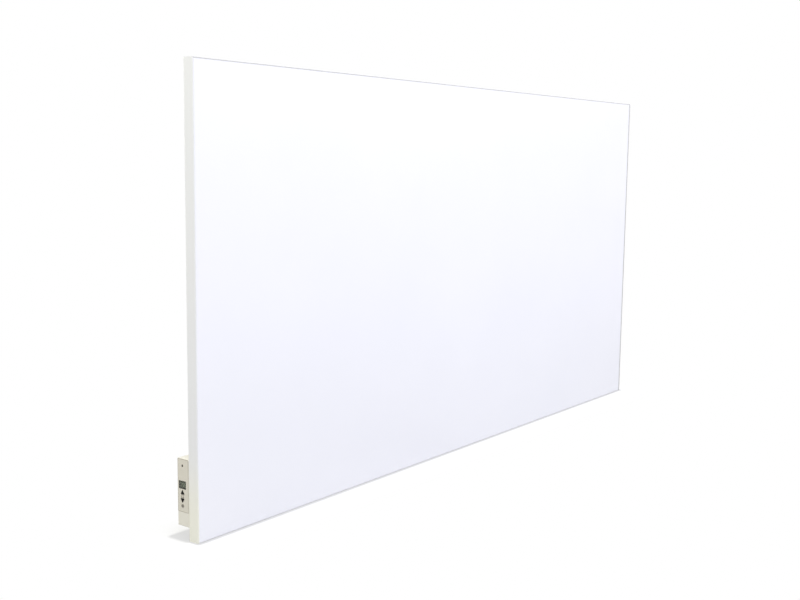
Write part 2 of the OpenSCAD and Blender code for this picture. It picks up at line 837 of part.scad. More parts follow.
// Brass rivet through the ribbon's end, with a soldering tab behind
module element_terminals() {
    color("goldenrod") at_terminals() {
        translate([0, y_element_front, 0]) rotate([90, 0, 0]) dome(2 * lead_r, tab_head_h);
        rod_y(0, 0, y_element_front, y_element + tab_t / 2, lead_r);
        plate_y(y_element, tab_t) round_rect(-tab_half, tab_half, -tab_half, tab_l, tab_r);
    }
}

module overheat_cutout() {
    color("dimgray") plate_y(y_element, cutout_d)
        round_rect(cutout_x - cutout_w / 2, cutout_x + cutout_w / 2,
            cutout_z - cutout_h / 2, cutout_z + cutout_h / 2, cutout_r);
    color("silver") for (s = [-1, 1])
        rod_x(y_element + cutout_d / 2, cutout_z, cutout_x + s * cutout_w / 2 + min(0, s * cutout_leg),
            cutout_x + s * cutout_w / 2 + max(0, s * cutout_leg), cutout_leg_r);
}

module at_clip_feet() {
    for (s = [-1, 1])
        translate([cutout_x, 0, cutout_z + s * (cutout_h / 2 + clip_t + clip_foot / 2)]) children();
}

// Strap bent over the cut-out, with a foot above and below
module cutout_clip() {
    arm = cutout_h / 2 + grip_gap + clip_t;
    top = cutout_d + grip_gap + clip_t;
    reach = arm + clip_foot;
    color("silver") translate([0, y_element, 0]) difference() {
        plate_x(cutout_x - clip_w / 2, clip_w) translate([0, cutout_z]) difference() {
            union() {
                translate([0, -reach]) square([clip_t, 2 * reach]);
                translate([0, -arm]) square([top, 2 * arm]);
            }
            translate([-over, -arm + clip_t]) square([top - clip_t + over, 2 * arm - 2 * clip_t]);
        }
        at_clip_feet() rod_y(0, 0, -over, clip_t + over, lead_r + grip_gap);
    }
}

module clip_rivets() {
    color("silver") at_clip_feet() {
        rod_y(0, 0, y_element_front, y_element + clip_t + tab_head_h / 2, lead_r);
        translate([0, y_element_front, 0]) rotate([90, 0, 0]) dome(2 * lead_r, tab_head_h);
        translate([0, y_element + clip_t, 0]) rotate([-90, 0, 0]) dome(2 * lead_r, tab_head_h);
    }
}

// Wiring

module wire_grommet() {
    lip_r = grommet_hole_r + grommet_lip;
    color("dimgray") difference() {
        union() {
            rod_y(grommet_x, grommet_z, y_back - grommet_lip, y_back, lip_r);
            rod_y(grommet_x, grommet_z, y_back - grommet_lip, y_cover + grommet_lip, grommet_hole_r);
            rod_y(grommet_x, grommet_z, y_cover, y_cover + grommet_lip, lip_r);
        }
        rod_y(grommet_x, grommet_z, y_back - grommet_lip - over, y_cover + grommet_lip + over,
            grommet_bore_r);
    }
}

// A lead's way from the power board to the grommet
function bay_route(x, y, z) = [
    [board_x1 - lead_board_inset, y_parts, z],
    [board_x1 - lead_board_inset, y, z],
    [x, y, grommet_z]
];

module live_lead() {
    x = grommet_x + lead_spread;
    leg_x = cutout_x + cutout_w / 2 + cutout_leg;
    turn_x = leg_x + leg_reach;
    y_leg = y_element + cutout_d / 2;
    color("brown") lead_tube(concat(bay_route(x, lead_bay_y + lead_bay_step, board_z1 - live_drop),
        [[x, y_leg, grommet_z], [turn_x, y_leg, grommet_z],
         [turn_x, y_leg, cutout_z], [leg_x, y_leg, cutout_z]]));
}

module neutral_lead() {
    end_x = terminal_1[0] + 1;
    end_z = terminal_1[1] + solder_shift;
    slope = 24;
    x = grommet_x - lead_spread;
    color("steelblue") lead_tube(concat(bay_route(x, lead_bay_y, board_z1 - neutral_drop),
        [[x, lead_y, grommet_z], [terminal_1[0] + slope, lead_y, grommet_z],
         [end_x, lead_high_y, terminal_1[1] + slope], [end_x, lead_high_y, end_z], [end_x, y_tab, end_z]]));
}

module link_lead() {
    leg_x = cutout_x - cutout_w / 2 - cutout_leg;
    y_leg = y_element + cutout_d / 2;
    end_z = terminal_2[1] + solder_shift;
    color("brown") lead_tube([[leg_x, y_leg, cutout_z], [leg_x - link_reach, y_leg, cutout_z],
        [terminal_2[0], lead_high_y, cutout_z - 4], [terminal_2[0], lead_high_y, end_z],
        [terminal_2[0], y_tab, end_z]]);
}

module earth_stud() {
    color("goldenrod") rod_y(stud_x, stud_z, y_cover, y_cover + stud_l, stud_r);
}

// Hexagon nut with the ring of the earth lead under it
module earth_nut() {
    color("goldenrod") difference() {
        union() {
            rod_y(stud_x, stud_z, y_cover, y_cover + tab_t, 2 * stud_r);
            translate([stud_x, y_cover + tab_t, stud_z]) rotate([-90, 0, 0])
                cylinder(h = stud_nut_h, r = 2 * stud_r, $fn = 6);
        }
        rod_y(stud_x, stud_z, y_cover - over, y_cover + stud_l, stud_r + grip_gap);
    }
}

module earth_lead() {
    straight = 6;
    pole_rise = 3;
    ring_x = stud_x - 2 * stud_r;
    y_ring = y_cover + lead_r + 2 * grip_gap;
    y_pole = y_parts + pole_rise;
    z_pole = terminal_z0 + (terminal_count - 0.5) * terminal_pole;
    color("yellowgreen") lead_tube([[ring_x, y_ring, stud_z], [ring_x - straight, y_ring, stud_z],
        [ring_x - 2 * straight, y_pole, z_pole], [terminal_x0 + terminal_d, y_pole, z_pole]]);
}

// Outline of an arrow key, grown by a clearance, with blunt tips
module arrow_shape(grow) {
    base_angle = atan(2 * arrow_h / arrow_w);
    tip_r = 0.56 * arrow_w;
    side = arrow_w / 2 + grow / tan(base_angle / 2);
    intersection() {
        polygon([[-side, -arrow_h / 2 - grow], [side, -arrow_h / 2 - grow],
            [0, arrow_h / 2 + grow / sin(90 - base_angle)]]);
        translate([0, -0.12 * arrow_h]) circle(tip_r + grow);
    }
}

module set_shape(grow) {
    half = set_key_w / 2 + grow;
    round_rect(-half, half, -half, half, 0.3 + grow);
}

// Each key's outline at its place on the face
module up_outline(grow) {
    translate([face_y, up_z]) arrow_shape(grow);
}

module set_outline(grow) {
    translate([face_y, set_z]) set_shape(grow);
}

module down_outline(grow) {
    translate([face_y, down_z]) mirror([0, 1]) arrow_shape(grow);
}

module power_outline(grow) {
    translate([face_y, power_z]) circle(power_key_r + grow);
}

module key_outlines(grow) {
    up_outline(grow);
    set_outline(grow);
    down_outline(grow);
    power_outline(grow);
}

module window_outline(grow) {
    translate([face_y, window_z]) round_rect(-window_w / 2 - grow, window_w / 2 + grow,
        -window_h / 2 - grow, window_h / 2 + grow, 0.4);
}

module plate_outline(grow) {
    round_rect(y_back + plate_edge - grow, y_case - plate_edge + grow,
        plate_low_z - grow, plate_top_z + grow, plate_r);
}

// Control housing

module case_block() {
    intersection() {
        plate_x(x_face, control_l) round_rect(y_back, y_case, control_z, z_case, case_r);
        plate_z(control_z, control_h) round_rect(x_face, x_case, y_back - case_r, y_case, case_r);
        plate_y(y_back, y_case - y_back) round_rect(x_face, x_case, control_z, z_case, case_r);
    }
}

module control_housing() {
    vent_l = 9;
    vent_w = 1.6;
    vent_step = 4;
    vent_count = 6;
    vent_start = x_face + 10;
    color("beige") difference() {
        union() {
            difference() {
                case_block();
                box(x_wall_in, x_case - case_t, y_back - over, y_case_in,
                    control_z + case_t, z_case - case_t);
            }
            at_case_screws() rod_y(0, 0, y_base + grip_gap, y_case_in + case_t / 2, boss_r);
            for (z = [post_low_z, post_high_z]) rod_x(face_y, z, x_wall_in - case_t / 4, x_keypad, post_r);
        }
        box(x_wall_in, x_case + over, y_back - over, y_cover, control_z - over, z_case + over);
        plate_x(x_face - over, over + plate_t) plate_outline(grip_gap);
        plate_x(x_face - over, case_t + 2 * over) key_outlines(move_gap);
        plate_x(x_face - over, over + window_t) window_outline(grip_gap);
        plate_x(x_face - over, case_t + 2 * over) window_outline(-window_ledge);
        rod_x(face_y, lamp_z, x_face - over, x_wall_in + over, lamp_r + fit_gap);
        for (z = [post_low_z, post_high_z])
            rod_x(face_y, z, x_keypad - screw_bite, x_keypad + over, keypad_screw_r + grip_gap);
        at_case_screws() {
            rod_y(0, 0, y_cover - over, y_case + over, case_screw_r + pass_gap);
            rod_y(0, 0, y_screw_head, y_case + over, screw_head_r + pass_gap);
        }
        rod_x(gland_y, gland_z, x_case - case_t - over, x_case + over, gland_r + fit_gap);
        plate_z(control_z - over, case_t + 2 * over)
            for (i = [0:vent_count - 1])
                translate([vent_start + i * vent_step, (y_base + y_case_in) / 2])
                    rotate(90) slot_shape(vent_l, vent_w);
    }
}

module control_base() {
    x0 = x_wall_in + fit_gap;
    x1 = x_case - case_t - fit_gap;
    z0 = control_z + case_t + fit_gap;
    z1 = z_case - case_t - fit_gap;
    stud_half = 2 * stud_r;
    ring_lead_l = 14;
    color("beige") difference() {
        union() {
            plate_y(y_cover, base_t) round_rect(x0, x1, z0, z1, plate_r);
            at_board_screws() rod_y(0, 0, y_cover + base_t / 2, y_board, 2.4 * board_screw_r);
        }
        at_case_screws() rod_y(0, 0, y_cover - over, y_base + over, case_screw_r + pass_gap);
        at_board_screws() rod_y(0, 0, y_base - base_t / 2, y_board + over, board_screw_r + grip_gap);
        rod_y(grommet_x, grommet_z, y_cover - over, y_base + over, grommet_hole_r + grommet_lip + fit_gap);
        rod_y(stud_x, stud_z, y_cover - over, y_base + over, stud_half + stud_clear);
        box(stud_x - stud_half - ring_lead_l, stud_x, y_cover - over, y_base + over,
            stud_z - stud_clear, stud_z + stud_clear);
    }
}

module control_screws() {
    color("silver") at_case_screws() translate([0, y_screw_head, 0]) rotate([-90, 0, 0])
        pan_screw(screw_head_r, screw_head_h, case_screw_r, y_screw_head - y_back + screw_bite);
}

module face_plate() {
    color("lightgray") plate_x(x_face, plate_t) difference() {
        plate_outline(0);
        key_outlines(move_gap);
        window_outline(grip_gap);
        translate([face_y, lamp_z]) circle(lamp_r + fit_gap);
    }
}

module display_window() {
    color("darkseagreen") plate_x(x_face, window_t) window_outline(0);
}

module display_module() {
    color("dimgray") plate_x(x_wall_in + fit_gap, x_keypad - x_wall_in - fit_gap)
        translate([face_y, window_z]) square([display_w, display_h], center = true);
}

module status_lamp() {
    color("firebrick") {
        rod_x(face_y, lamp_z, x_face + lamp_r, x_keypad, lamp_r);
        rod_x(face_y, lamp_z, x_keypad - lamp_flange_t, x_keypad, lamp_flange_r);
        translate([x_face + lamp_r, face_y, lamp_z]) sphere(lamp_r);
    }
}

module keypad_board() {
    color("darkgreen") plate_x(x_keypad, board_t) difference() {
        round_rect(keypad_y0, keypad_y1, keypad_low_z, keypad_high_z, keypad_r);
        for (z = [post_low_z, post_high_z]) translate([face_y, z]) circle(keypad_screw_r + fit_gap);
    }
}

module keypad_screws() {
    color("silver") for (z = [post_low_z, post_high_z])
        translate([x_keypad + board_t, face_y, z]) rotate([0, 90, 0])
            pan_screw(2 * keypad_screw_r, keypad_screw_head_h, keypad_screw_r, board_t + keypad_screw_bite);
}

module key_switches() {
    color("black") for (z = [up_z, set_z, down_z, power_z]) difference() {
        plate_x(x_switch, switch_h) translate([face_y, z]) square([switch_l, switch_w], center = true);
        rod_x(face_y, z, x_switch - over, x_switch + plunger_depth + key_travel + move_gap,
            plunger_r + run_gap);
    }
}

// A key: its cap through the face, and the flange that keeps it in
module key_body(z, flange_r) {
    plate_x(x_face - key_rise, x_flange + key_flange_t / 2 - x_face + key_rise) children();
    rod_x(face_y, z, x_flange, x_flange_in, flange_r);
}

module up_key() {
    color([0.15, 0.13, 0.1]) key_body(up_z, key_flange_r) up_outline(0);
}

module set_key() {
    color("gainsboro") key_body(set_z, key_flange_r) set_outline(0);
}

module down_key() {
    color([0.15, 0.13, 0.1]) key_body(down_z, key_flange_r) down_outline(0);
}

module power_key() {
    color("gray") key_body(power_z, power_flange_r) power_outline(0);
}

module plunger(z) {
    color("darkred") rod_x(face_y, z, x_flange_in, x_switch + plunger_depth, plunger_r);
}

module up_plunger() {
    plunger(up_z);
}

module set_plunger() {
    plunger(set_z);
}

module down_plunger() {
    plunger(down_z);
}

module power_plunger() {
    plunger(power_z);
}

// Electronics on the base plate

// Flat cable that leaves the keypad board and bends down to the power board
module board_cable() {
    cable_t = 0.9;
    cable_w = 10;
    turn_r = 3;
    foot_l = 2;
    x_start = x_keypad + board_t;
    x_end = board_x0 + turn_r;
    y_top = y_parts + turn_r + foot_l;
    color("lightgray") plate_z(window_z - cable_w / 2, cable_w) {
        translate([x_start, y_top - cable_t / 2]) square([x_end - turn_r - x_start, cable_t]);
        translate([x_end - turn_r, y_top - turn_r]) intersection() {
            difference() {
                circle(turn_r + cable_t / 2);
                circle(turn_r - cable_t / 2);
            }
            square(2 * turn_r);
        }
        translate([x_end - cable_t / 2, y_parts]) square([cable_t, y_top - turn_r - y_parts]);
    }
}

module power_board() {
    color("darkgreen") plate_y(y_board, board_t) difference() {
        round_rect(board_x0, board_x1, board_z0, board_z1, plate_r);
        for (p = board_holes) translate([p[0], p[2]]) circle(board_screw_r + fit_gap);
    }
}

module board_screws() {
    screw_l = board_t + board_gap + board_screw_bite;
    color("silver") at_board_screws() translate([0, y_parts, 0]) rotate([-90, 0, 0])
        pan_screw(2 * board_screw_r, board_screw_head_h, board_screw_r, screw_l);
}

module relay() {
    color("dimgray") plate_y(y_parts, part_h)
        round_rect(relay_x0, relay_x0 + relay_l, relay_z0, relay_z0 + relay_w, 0.5);
}

module power_supply() {
    color([0.15, 0.15, 0.17]) plate_y(y_parts, part_h)
        round_rect(supply_x0, supply_x0 + supply_l, supply_z0, supply_z0 + supply_w, 0.8);
}

// Bottoms of the terminal block's screw wells
module at_wells() {
    for (i = [0:terminal_count - 1])
        translate([terminal_x0 + terminal_d / 2, y_parts + terminal_h - well_d,
            terminal_z0 + (i + 0.5) * terminal_pole]) children();
}

module terminal_block() {
    color("seagreen") difference() {
        box(terminal_x0, terminal_x0 + terminal_d, y_parts, y_parts + terminal_h,
            terminal_z0, terminal_z0 + terminal_l);
        at_wells() rod_y(0, 0, 0, well_d + over, well_r);
    }
}

module terminal_screws() {
    color("silver") at_wells() difference() {
        rod_y(0, 0, 0, well_screw_h, well_r - grip_gap);
        box(-well_r, well_r, well_screw_h - well_slot_d, well_screw_h + over,
            -well_slot_w / 2, well_slot_w / 2);
    }
}

module room_sensor() {
    x_leg = x_keypad + board_t / 2;
    color("black") {
        translate([x_leg, face_y, sensor_z]) sphere(sensor_r);
        for (s = [-1, 1]) translate([x_leg, face_y + s * sensor_r / 2, sensor_z])
            cylinder(h = keypad_low_z - sensor_z, r = sensor_leg_r);
    }
}

// Cord entry, on the housing's hidden end

module gland_hex(x0, l) {
    translate([x0, gland_y, gland_z]) rotate([0, 90, 0]) cylinder(h = l, r = gland_hex_r, $fn = 6);
}

module gland_body() {
    color("dimgray") difference() {
        union() {
            rod_x(gland_y, gland_z, x_case - case_t - gland_nut_t - gland_tail, x_seal - fit_gap, gland_r);
            gland_hex(x_case, gland_collar);
        }
        rod_x(gland_y, gland_z, x_case - 2 * case_t - gland_nut_t - over, x_cap_end, gland_bore_r);
    }
}

module gland_cap() {
    hex_l = 0.55 * gland_cap_l;
    crown_r = 0.86 * gland_hex_r;
    tip_r = 0.68 * gland_hex_r;
    color("dimgray") difference() {
        union() {
            gland_hex(x_cap, hex_l);
            translate([x_cap + hex_l, gland_y, gland_z]) rotate([0, 90, 0])
                cylinder(h = gland_cap_l - hex_l, r1 = crown_r, r2 = tip_r);
        }
        rod_x(gland_y, gland_z, x_cap - over, x_seal, gland_r + grip_gap);
        rod_x(gland_y, gland_z, x_cap, x_seal_end, gland_seat_r);
        rod_x(gland_y, gland_z, x_cap, x_cap_end + over, cord_r);
    }
}

module gland_seal() {
    color("black") difference() {
        rod_x(gland_y, gland_z, x_seal, x_seal_end, gland_seat_r - grip_gap);
        rod_x(gland_y, gland_z, x_cap, x_cap_end, gland_seat_r - gland_seal_t);
    }
}

module gland_nut() {
    x1 = x_case - case_t;
    color("dimgray") difference() {
        gland_hex(x1 - gland_nut_t, gland_nut_t);
        rod_x(gland_y, gland_z, x1 - gland_nut_t - over, x1 + over, gland_r + grip_gap);
    }
}

front_panel();
rear_cover();
rear_cover_screws();
lower_left_bracket();
lower_right_bracket();
upper_left_bracket();
upper_right_bracket();
bracket_rivets();
outer_left_rail();
inner_left_rail();
inner_right_rail();
outer_right_rail();
heat_shield();
element_spacers();
element_back_sheet();
heating_ribbon();
element_front_sheet();
element_screws();
element_terminals();
overheat_cutout();
cutout_clip();
clip_rivets();
wire_grommet();
live_lead();
neutral_lead();
link_lead();
earth_lead();
earth_stud();
earth_nut();
control_housing();
control_base();
control_screws();
face_plate();
display_window();
display_module();
status_lamp();
keypad_board();
keypad_screws();
key_switches();
up_key();
set_key();
down_key();
power_key();
up_plunger();
set_plunger();
down_plunger();
power_plunger();
board_cable();
power_board();
board_screws();
relay();
power_supply();
terminal_block();
terminal_screws();
room_sensor();
gland_body();
gland_cap();
gland_seal();
gland_nut();
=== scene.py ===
import math

import bmesh
import bpy
from mathutils import Matrix, Vector


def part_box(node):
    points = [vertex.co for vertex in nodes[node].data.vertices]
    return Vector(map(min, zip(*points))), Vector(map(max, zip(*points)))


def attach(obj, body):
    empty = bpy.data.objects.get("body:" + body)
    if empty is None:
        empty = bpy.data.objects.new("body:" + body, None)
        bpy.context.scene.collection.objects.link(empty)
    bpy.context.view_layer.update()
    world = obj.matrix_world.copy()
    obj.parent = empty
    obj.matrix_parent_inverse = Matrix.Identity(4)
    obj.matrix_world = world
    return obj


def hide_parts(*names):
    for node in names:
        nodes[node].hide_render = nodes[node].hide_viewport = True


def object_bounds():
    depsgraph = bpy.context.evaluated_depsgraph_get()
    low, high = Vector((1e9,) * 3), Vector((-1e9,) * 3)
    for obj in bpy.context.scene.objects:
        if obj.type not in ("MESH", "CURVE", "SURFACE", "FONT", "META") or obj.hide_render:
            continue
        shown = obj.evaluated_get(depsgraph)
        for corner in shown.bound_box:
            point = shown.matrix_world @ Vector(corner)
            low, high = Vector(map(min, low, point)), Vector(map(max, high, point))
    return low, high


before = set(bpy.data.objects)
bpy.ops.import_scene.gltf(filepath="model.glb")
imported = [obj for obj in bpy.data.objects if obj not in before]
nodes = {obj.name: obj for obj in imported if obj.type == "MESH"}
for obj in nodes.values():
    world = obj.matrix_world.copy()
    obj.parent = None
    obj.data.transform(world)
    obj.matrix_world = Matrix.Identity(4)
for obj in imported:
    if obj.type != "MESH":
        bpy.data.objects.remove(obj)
cadLow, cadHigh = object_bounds()
mm = 0.001
white = (1, 1, 1, 1)
print("frame loaded:", len(nodes), "nodes")

# Camera, lamps, floor and background

camera = {
    "place": (-1.5012, -1.0032, 0.4823),
    "yaw": 53.225,         # degrees, from +Y towards +X
    "pitch": -7.4,
    "roll": 0.72,
    "focalPixels": 1086.1,
    "imageWidth": 800,
    "sensorWidth": 36,     # mm
    "clipStart": 0.02,
}

lamps = {
    "keyLamp": {
        "place": (0, -1.5, 1.5), "aim": (0, 0, 0.5), "size": (4.2, 0.6),
        "watts": 38, "tint": (0.84, 0.845, 1),
    },
    "sideLamp": {
        "place": (-1.35, 0.4, 1.2), "aim": (-0.6, 0, 0.5), "size": (0.5, 0.5),
        "watts": 4, "tint": (1, 1, 0.75),
    },
    "rearLamp": {
        "place": (0.3, 2.8, 1), "aim": (0, 0, 0.3), "size": (3, 1.2),
        "watts": 15, "tint": (1, 1, 1),
    },
}

surroundings = {
    "fillLight": (0.7, 0.7, 0.695),
    "floorSide": 30,
    "floorDrop": 0.1 * mm,
    "floorPale": (0.45, 0.45, 0.45),
    "softShadow": (0, 60 * mm),          # full to the first distance from the object, none beyond the second
    "panelShadow": (2 * mm, 6 * mm),     # close round the panel's foot
    "unitShadow": (3 * mm, 11 * mm),
    "unitShadowTail": 7.5 * mm,          # the shadow under the control unit reaches further back
    "contactShade": (0.7, 0.7, 0.7),
    "litShare": 0.5,                     # how far the lamps shade the floor close to the object
    "litLoss": 0.3,                      # what a contact shadow takes off that
}


def makeCamera():
    lens = bpy.data.cameras.new("camera")
    lens.sensor_width = camera["sensorWidth"]
    lens.lens = camera["focalPixels"] / camera["imageWidth"] * camera["sensorWidth"]
    lens.clip_start = camera["clipStart"]
    holder = bpy.data.objects.new("camera", lens)
    bpy.context.scene.collection.objects.link(holder)
    turn = Matrix.Rotation(math.radians(-camera["yaw"]), 4, "Z")
    tilt = Matrix.Rotation(math.radians(90 + camera["pitch"]), 4, "X")
    roll = Matrix.Rotation(math.radians(camera["roll"]), 4, "Z")
    holder.matrix_world = Matrix.Translation(camera["place"]) @ turn @ tilt @ roll
    bpy.context.scene.camera = holder


def makeLamps():
    for name, lamp in lamps.items():
        light = bpy.data.lights.new(name, "AREA")
        light.shape = "RECTANGLE"
        light.size, light.size_y = lamp["size"]
        light.energy = lamp["watts"]
        light.color = lamp["tint"]
        holder = bpy.data.objects.new(name, light)
        bpy.context.scene.collection.objects.link(holder)
        holder.location = lamp["place"]
        towards = Vector(lamp["aim"]) - Vector(lamp["place"])
        holder.rotation_euler = towards.to_track_quat("-Z", "Y").to_euler()


# Shader maths

def arithmetic(operation, swapped=False):
    def apply(self, *others):
        values = [*others, self] if swapped else [self, *others]
        return self.finish.add("ShaderNodeMath", {"operation": operation}, dict(enumerate(values)))
    return apply


class Socket:  # a shader value, on which arithmetic adds Math nodes
    def __init__(self, finish, output):
        self.finish = finish
        self.output = output

    __add__ = __radd__ = arithmetic("ADD")
    __sub__ = arithmetic("SUBTRACT")
    __rsub__ = arithmetic("SUBTRACT", swapped=True)
    __mul__ = __rmul__ = arithmetic("MULTIPLY")
    __pow__ = arithmetic("POWER")
    __lt__ = arithmetic("LESS_THAN")
    __gt__ = arithmetic("GREATER_THAN")
    least = arithmetic("MINIMUM")
    most = arithmetic("MAXIMUM")
    __abs__ = arithmetic("ABSOLUTE")
    sine = arithmetic("SINE")


def pick(sockets, key):
    if isinstance(key, int):
        return sockets[key]
    return next(s for s in sockets if s.name == key and s.enabled)


def rgb(red, green, blue):  # a colour as a picture shows it, from 0 to 255
    parts = [c / 255 for c in (red, green, blue)]
    return tuple(c / 12.92 if c <= 0.04045 else ((c + 0.055) / 1.055) ** 2.4 for c in parts) + (1,)


class Finish:  # a material and the nodes in it
    def __init__(self, owner):
        owner.use_nodes = True
        self.owner = owner
        self.tree = owner.node_tree

    def add(self, kind, settings=None, values=None, result=0):
        node = self.tree.nodes.new(kind)
        for name, value in (settings or {}).items():
            if name == "stops":
                for i, (place, colour) in enumerate(value):
                    stop = node.color_ramp.elements[i] if i < 2 else node.color_ramp.elements.new(place)
                    stop.position = place
                    stop.color = colour
            else:
                setattr(node, name, value)
        for key, value in (values or {}).items():
            self.feed(pick(node.inputs, key), value)
        return Socket(self, pick(node.outputs, result))

    def feed(self, target, value):
        if isinstance(value, Socket):
            self.tree.links.new(value.output, target)
        else:
            target.default_value = value

    def surface(self, values):
        for key, value in values.items():
            self.feed(self.tree.nodes["Principled BSDF"].inputs[key], value)

    def place(self, stretch=(1, 1, 1)):
        where = self.add("ShaderNodeTexCoord", result="Object")
        return self.add("ShaderNodeMapping", None, {"Vector": where, "Scale": stretch})

    def axes(self):
        parts = self.add("ShaderNodeSeparateXYZ", None, {0: self.add("ShaderNodeTexCoord", result="Object")})
        outputs = parts.output.node.outputs
        return [Socket(self, outputs[i]) for i in range(3)]

    def seen(self):  # 1 for what the camera sees, also in gloss and through glass, 0 for other light
        path = self.add("ShaderNodeLightPath")
        rays = {s.name: Socket(self, s) for s in path.output.node.outputs}
        return rays["Is Camera Ray"].most(rays["Is Glossy Ray"]).most(rays["Is Transmission Ray"])

    def noise(self, scale, detail, stretch=(1, 1, 1)):
        values = {"Vector": self.place(stretch), "Scale": scale, "Detail": detail}
        return self.add("ShaderNodeTexNoise", None, values, "Fac")

    def cells(self, scale, result="Color"):
        return self.add("ShaderNodeTexVoronoi", None, {"Vector": self.place(), "Scale": scale}, result)

    def mix(self, factor, first, second):
        values = {"Factor": factor, "A": first, "B": second}
        return self.add("ShaderNodeMix", {"data_type": "RGBA"}, values, "Result")

    def ramp(self, factor, stops):
        return self.add("ShaderNodeValToRGB", {"stops": stops}, {"Fac": factor}, "Color")

    def step(self, value, low, high):  # 0 below low, 1 above high, smooth between
        settings = {"interpolation_type": "SMOOTHSTEP"}
        return self.add("ShaderNodeMapRange", settings, {"Value": value, "From Min": low, "From Max": high})

    def bump(self, height, distance, under=None):
        values = {"Height": height, "Distance": distance}
        if under:
            values["Normal"] = under
        return self.add("ShaderNodeBump", None, values)


def makeWorld():
    world = bpy.data.worlds.new("studio")
    bpy.context.scene.world = world
    finish = Finish(world)
    light = finish.mix(finish.seen(), surroundings["fillLight"] + (1,), white)
    finish.feed(finish.tree.nodes["Background"].inputs["Color"], light)


def nearness(finish, place, low, high, reach):  # how near a floor point is to a box's footprint
    near, far = reach
    x, y = place
    sideways = (low.x - x).most(x - high.x).most(0)
    backwards = (low.y - y).most(y - high.y).most(0)
    away = (sideways * sideways + backwards * backwards) ** 0.5
    return 1 - finish.step(away, near, far)


def makeFloor():
    shape = bmesh.new()
    bmesh.ops.create_grid(shape, x_segments=1, y_segments=1, size=surroundings["floorSide"] / 2)
    bmesh.ops.translate(shape, verts=shape.verts, vec=(0, 0, -surroundings["floorDrop"]))
    mesh = bpy.data.meshes.new("floor")
    shape.to_mesh(mesh)
    shape.free()
    floor = bpy.data.objects.new("floor", mesh)
    bpy.context.scene.collection.objects.link(floor)
    finish = Finish(bpy.data.materials.new("paleFloor"))
    x, y, z = finish.axes()
    soft = nearness(finish, (x, y), cadLow, cadHigh, surroundings["softShadow"])
    unitLow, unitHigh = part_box("control_housing")
    tail = Vector((0, surroundings["unitShadowTail"], 0))
    underUnit = nearness(finish, (x, y), unitLow, unitHigh + tail, surroundings["unitShadow"])
    contact = underUnit.most(nearness(finish, (x, y), *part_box("front_panel"), surroundings["panelShadow"]))
    matt = finish.add("ShaderNodeBsdfDiffuse", None, {"Color": surroundings["floorPale"] + (1,)})
    shade = finish.mix(contact, white, surroundings["contactShade"] + (1,))
    plain = finish.add("ShaderNodeEmission", None, {"Color": shade})
    lit = finish.add("ShaderNodeBsdfDiffuse", None, {"Color": white})
    share = soft * (surroundings["litShare"] - contact * surroundings["litLoss"])
    shown = finish.add("ShaderNodeMixShader", None, {0: share, 1: plain, 2: lit})
    both = finish.add("ShaderNodeMixShader", None, {0: finish.seen(), 1: matt, 2: shown})
    finish.feed(finish.tree.nodes["Material Output"].inputs["Surface"], both)
    mesh.materials.append(finish.owner)


makeCamera()
makeLamps()
makeWorld()
makeFloor()
bpy.context.scene.view_settings.view_transform = "Standard"
print("camera, lamps and floor made")

# Finishes, each under the name of its material slot. A texture is its scale per metre and its detail.
# A share, a roughness or the like beside it is what the texture adds at its full strength.

finishes = {}


def newFinish(slot):
    finish = Finish(bpy.data.materials.new(slot + "_look"))
    finishes[slot] = finish.owner
    return finish


enamelLook = {
    "front_enamel": {
        "shade": rgb(249, 249, 250),
        "drift": rgb(244, 245, 247),
        # the painted shade on the upper and right folds
        "foldShade": rgb(185, 185, 181),
        "roughness": 0.4,
    },
    "rear_enamel": {"shade": rgb(238, 239, 240), "drift": rgb(230, 231, 233), "roughness": 0.48},
}
coatTexture = {
    "cloud": (5, 3),
    "cloudRoughness": 0.08,
    "peel": (420, 2),
    "peelHeight": 0.02 * mm,
    "grain": (2600, 1),
    "grainHeight": 0.004 * mm,
    "grainRoughness": 0.05,
    "shine": 0.45,
}
warmLightAndYellowing = {  # painted warm light with a slight yellowing of the coat, low on the side wall beside the control unit
    "shade": rgb(253, 252, 239),
    "height": (30 * mm, 130 * mm),
    "depth": (0.5 * mm, 2 * mm),
}
# painted shade along the front's upper and right folds
foldShadeLook = {
    "upper": (2.6 * mm, 1),        # width and strength
    "right": (7.5 * mm, 0.95),
    "wallNarrowing": 2.5,          # a fold line is this much narrower on the wall than on the front
    "patches": (60, 2),
    "patchStrength": (0.75, 0.5),  # everywhere, and what the patches add to it
}


def paintedFoldShade(finish, low, high):  # painted shade along the front's upper and right folds, where the bends turn away from the light
    x, y, z = finish.axes()
    behind = (y - low.y) * foldShadeLook["wallNarrowing"]
    lines = []
    for inward, side in ((high.z - z, "upper"), (high.x - x, "right")):
        width, strength = foldShadeLook[side]
        away = (inward * inward + behind * behind) ** 0.5
        lines.append((1 - finish.step(away, width / 2, width)) * strength)
    everywhere, patchy = foldShadeLook["patchStrength"]
    return lines[0].most(lines[1]) * (everywhere + finish.noise(*foldShadeLook["patches"]) * patchy)


def powderCoat(slot, look):
    finish = newFinish(slot)
    cloud = finish.noise(*coatTexture["cloud"])
    shade = finish.mix(cloud, look["shade"], look["drift"])
    if "foldShade" in look:
        low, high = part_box("front_panel")
        # painted shade on the upper and right folds
        shade = finish.mix(paintedFoldShade(finish, low, high), shade, look["foldShade"])
        # painted warm light, with a slight yellowing, low on the side wall beside the control unit
        x, y, z = finish.axes()
        beside = 1 - finish.step(x - low.x, *warmLightAndYellowing["depth"])
        lower = 1 - finish.step(z, *warmLightAndYellowing["height"])
        shade = finish.mix(beside * lower, shade, warmLightAndYellowing["shade"])
    peel = finish.bump(finish.noise(*coatTexture["peel"]), coatTexture["peelHeight"])
    grain = finish.noise(*coatTexture["grain"])
    roughness = look["roughness"] + (cloud - 0.5) * coatTexture["cloudRoughness"]
    finish.surface({
        "Base Color": shade,
        "Roughness": roughness + grain * coatTexture["grainRoughness"],
        "Normal": finish.bump(grain, coatTexture["grainHeight"], peel),
        "Specular IOR Level": coatTexture["shine"],
    })


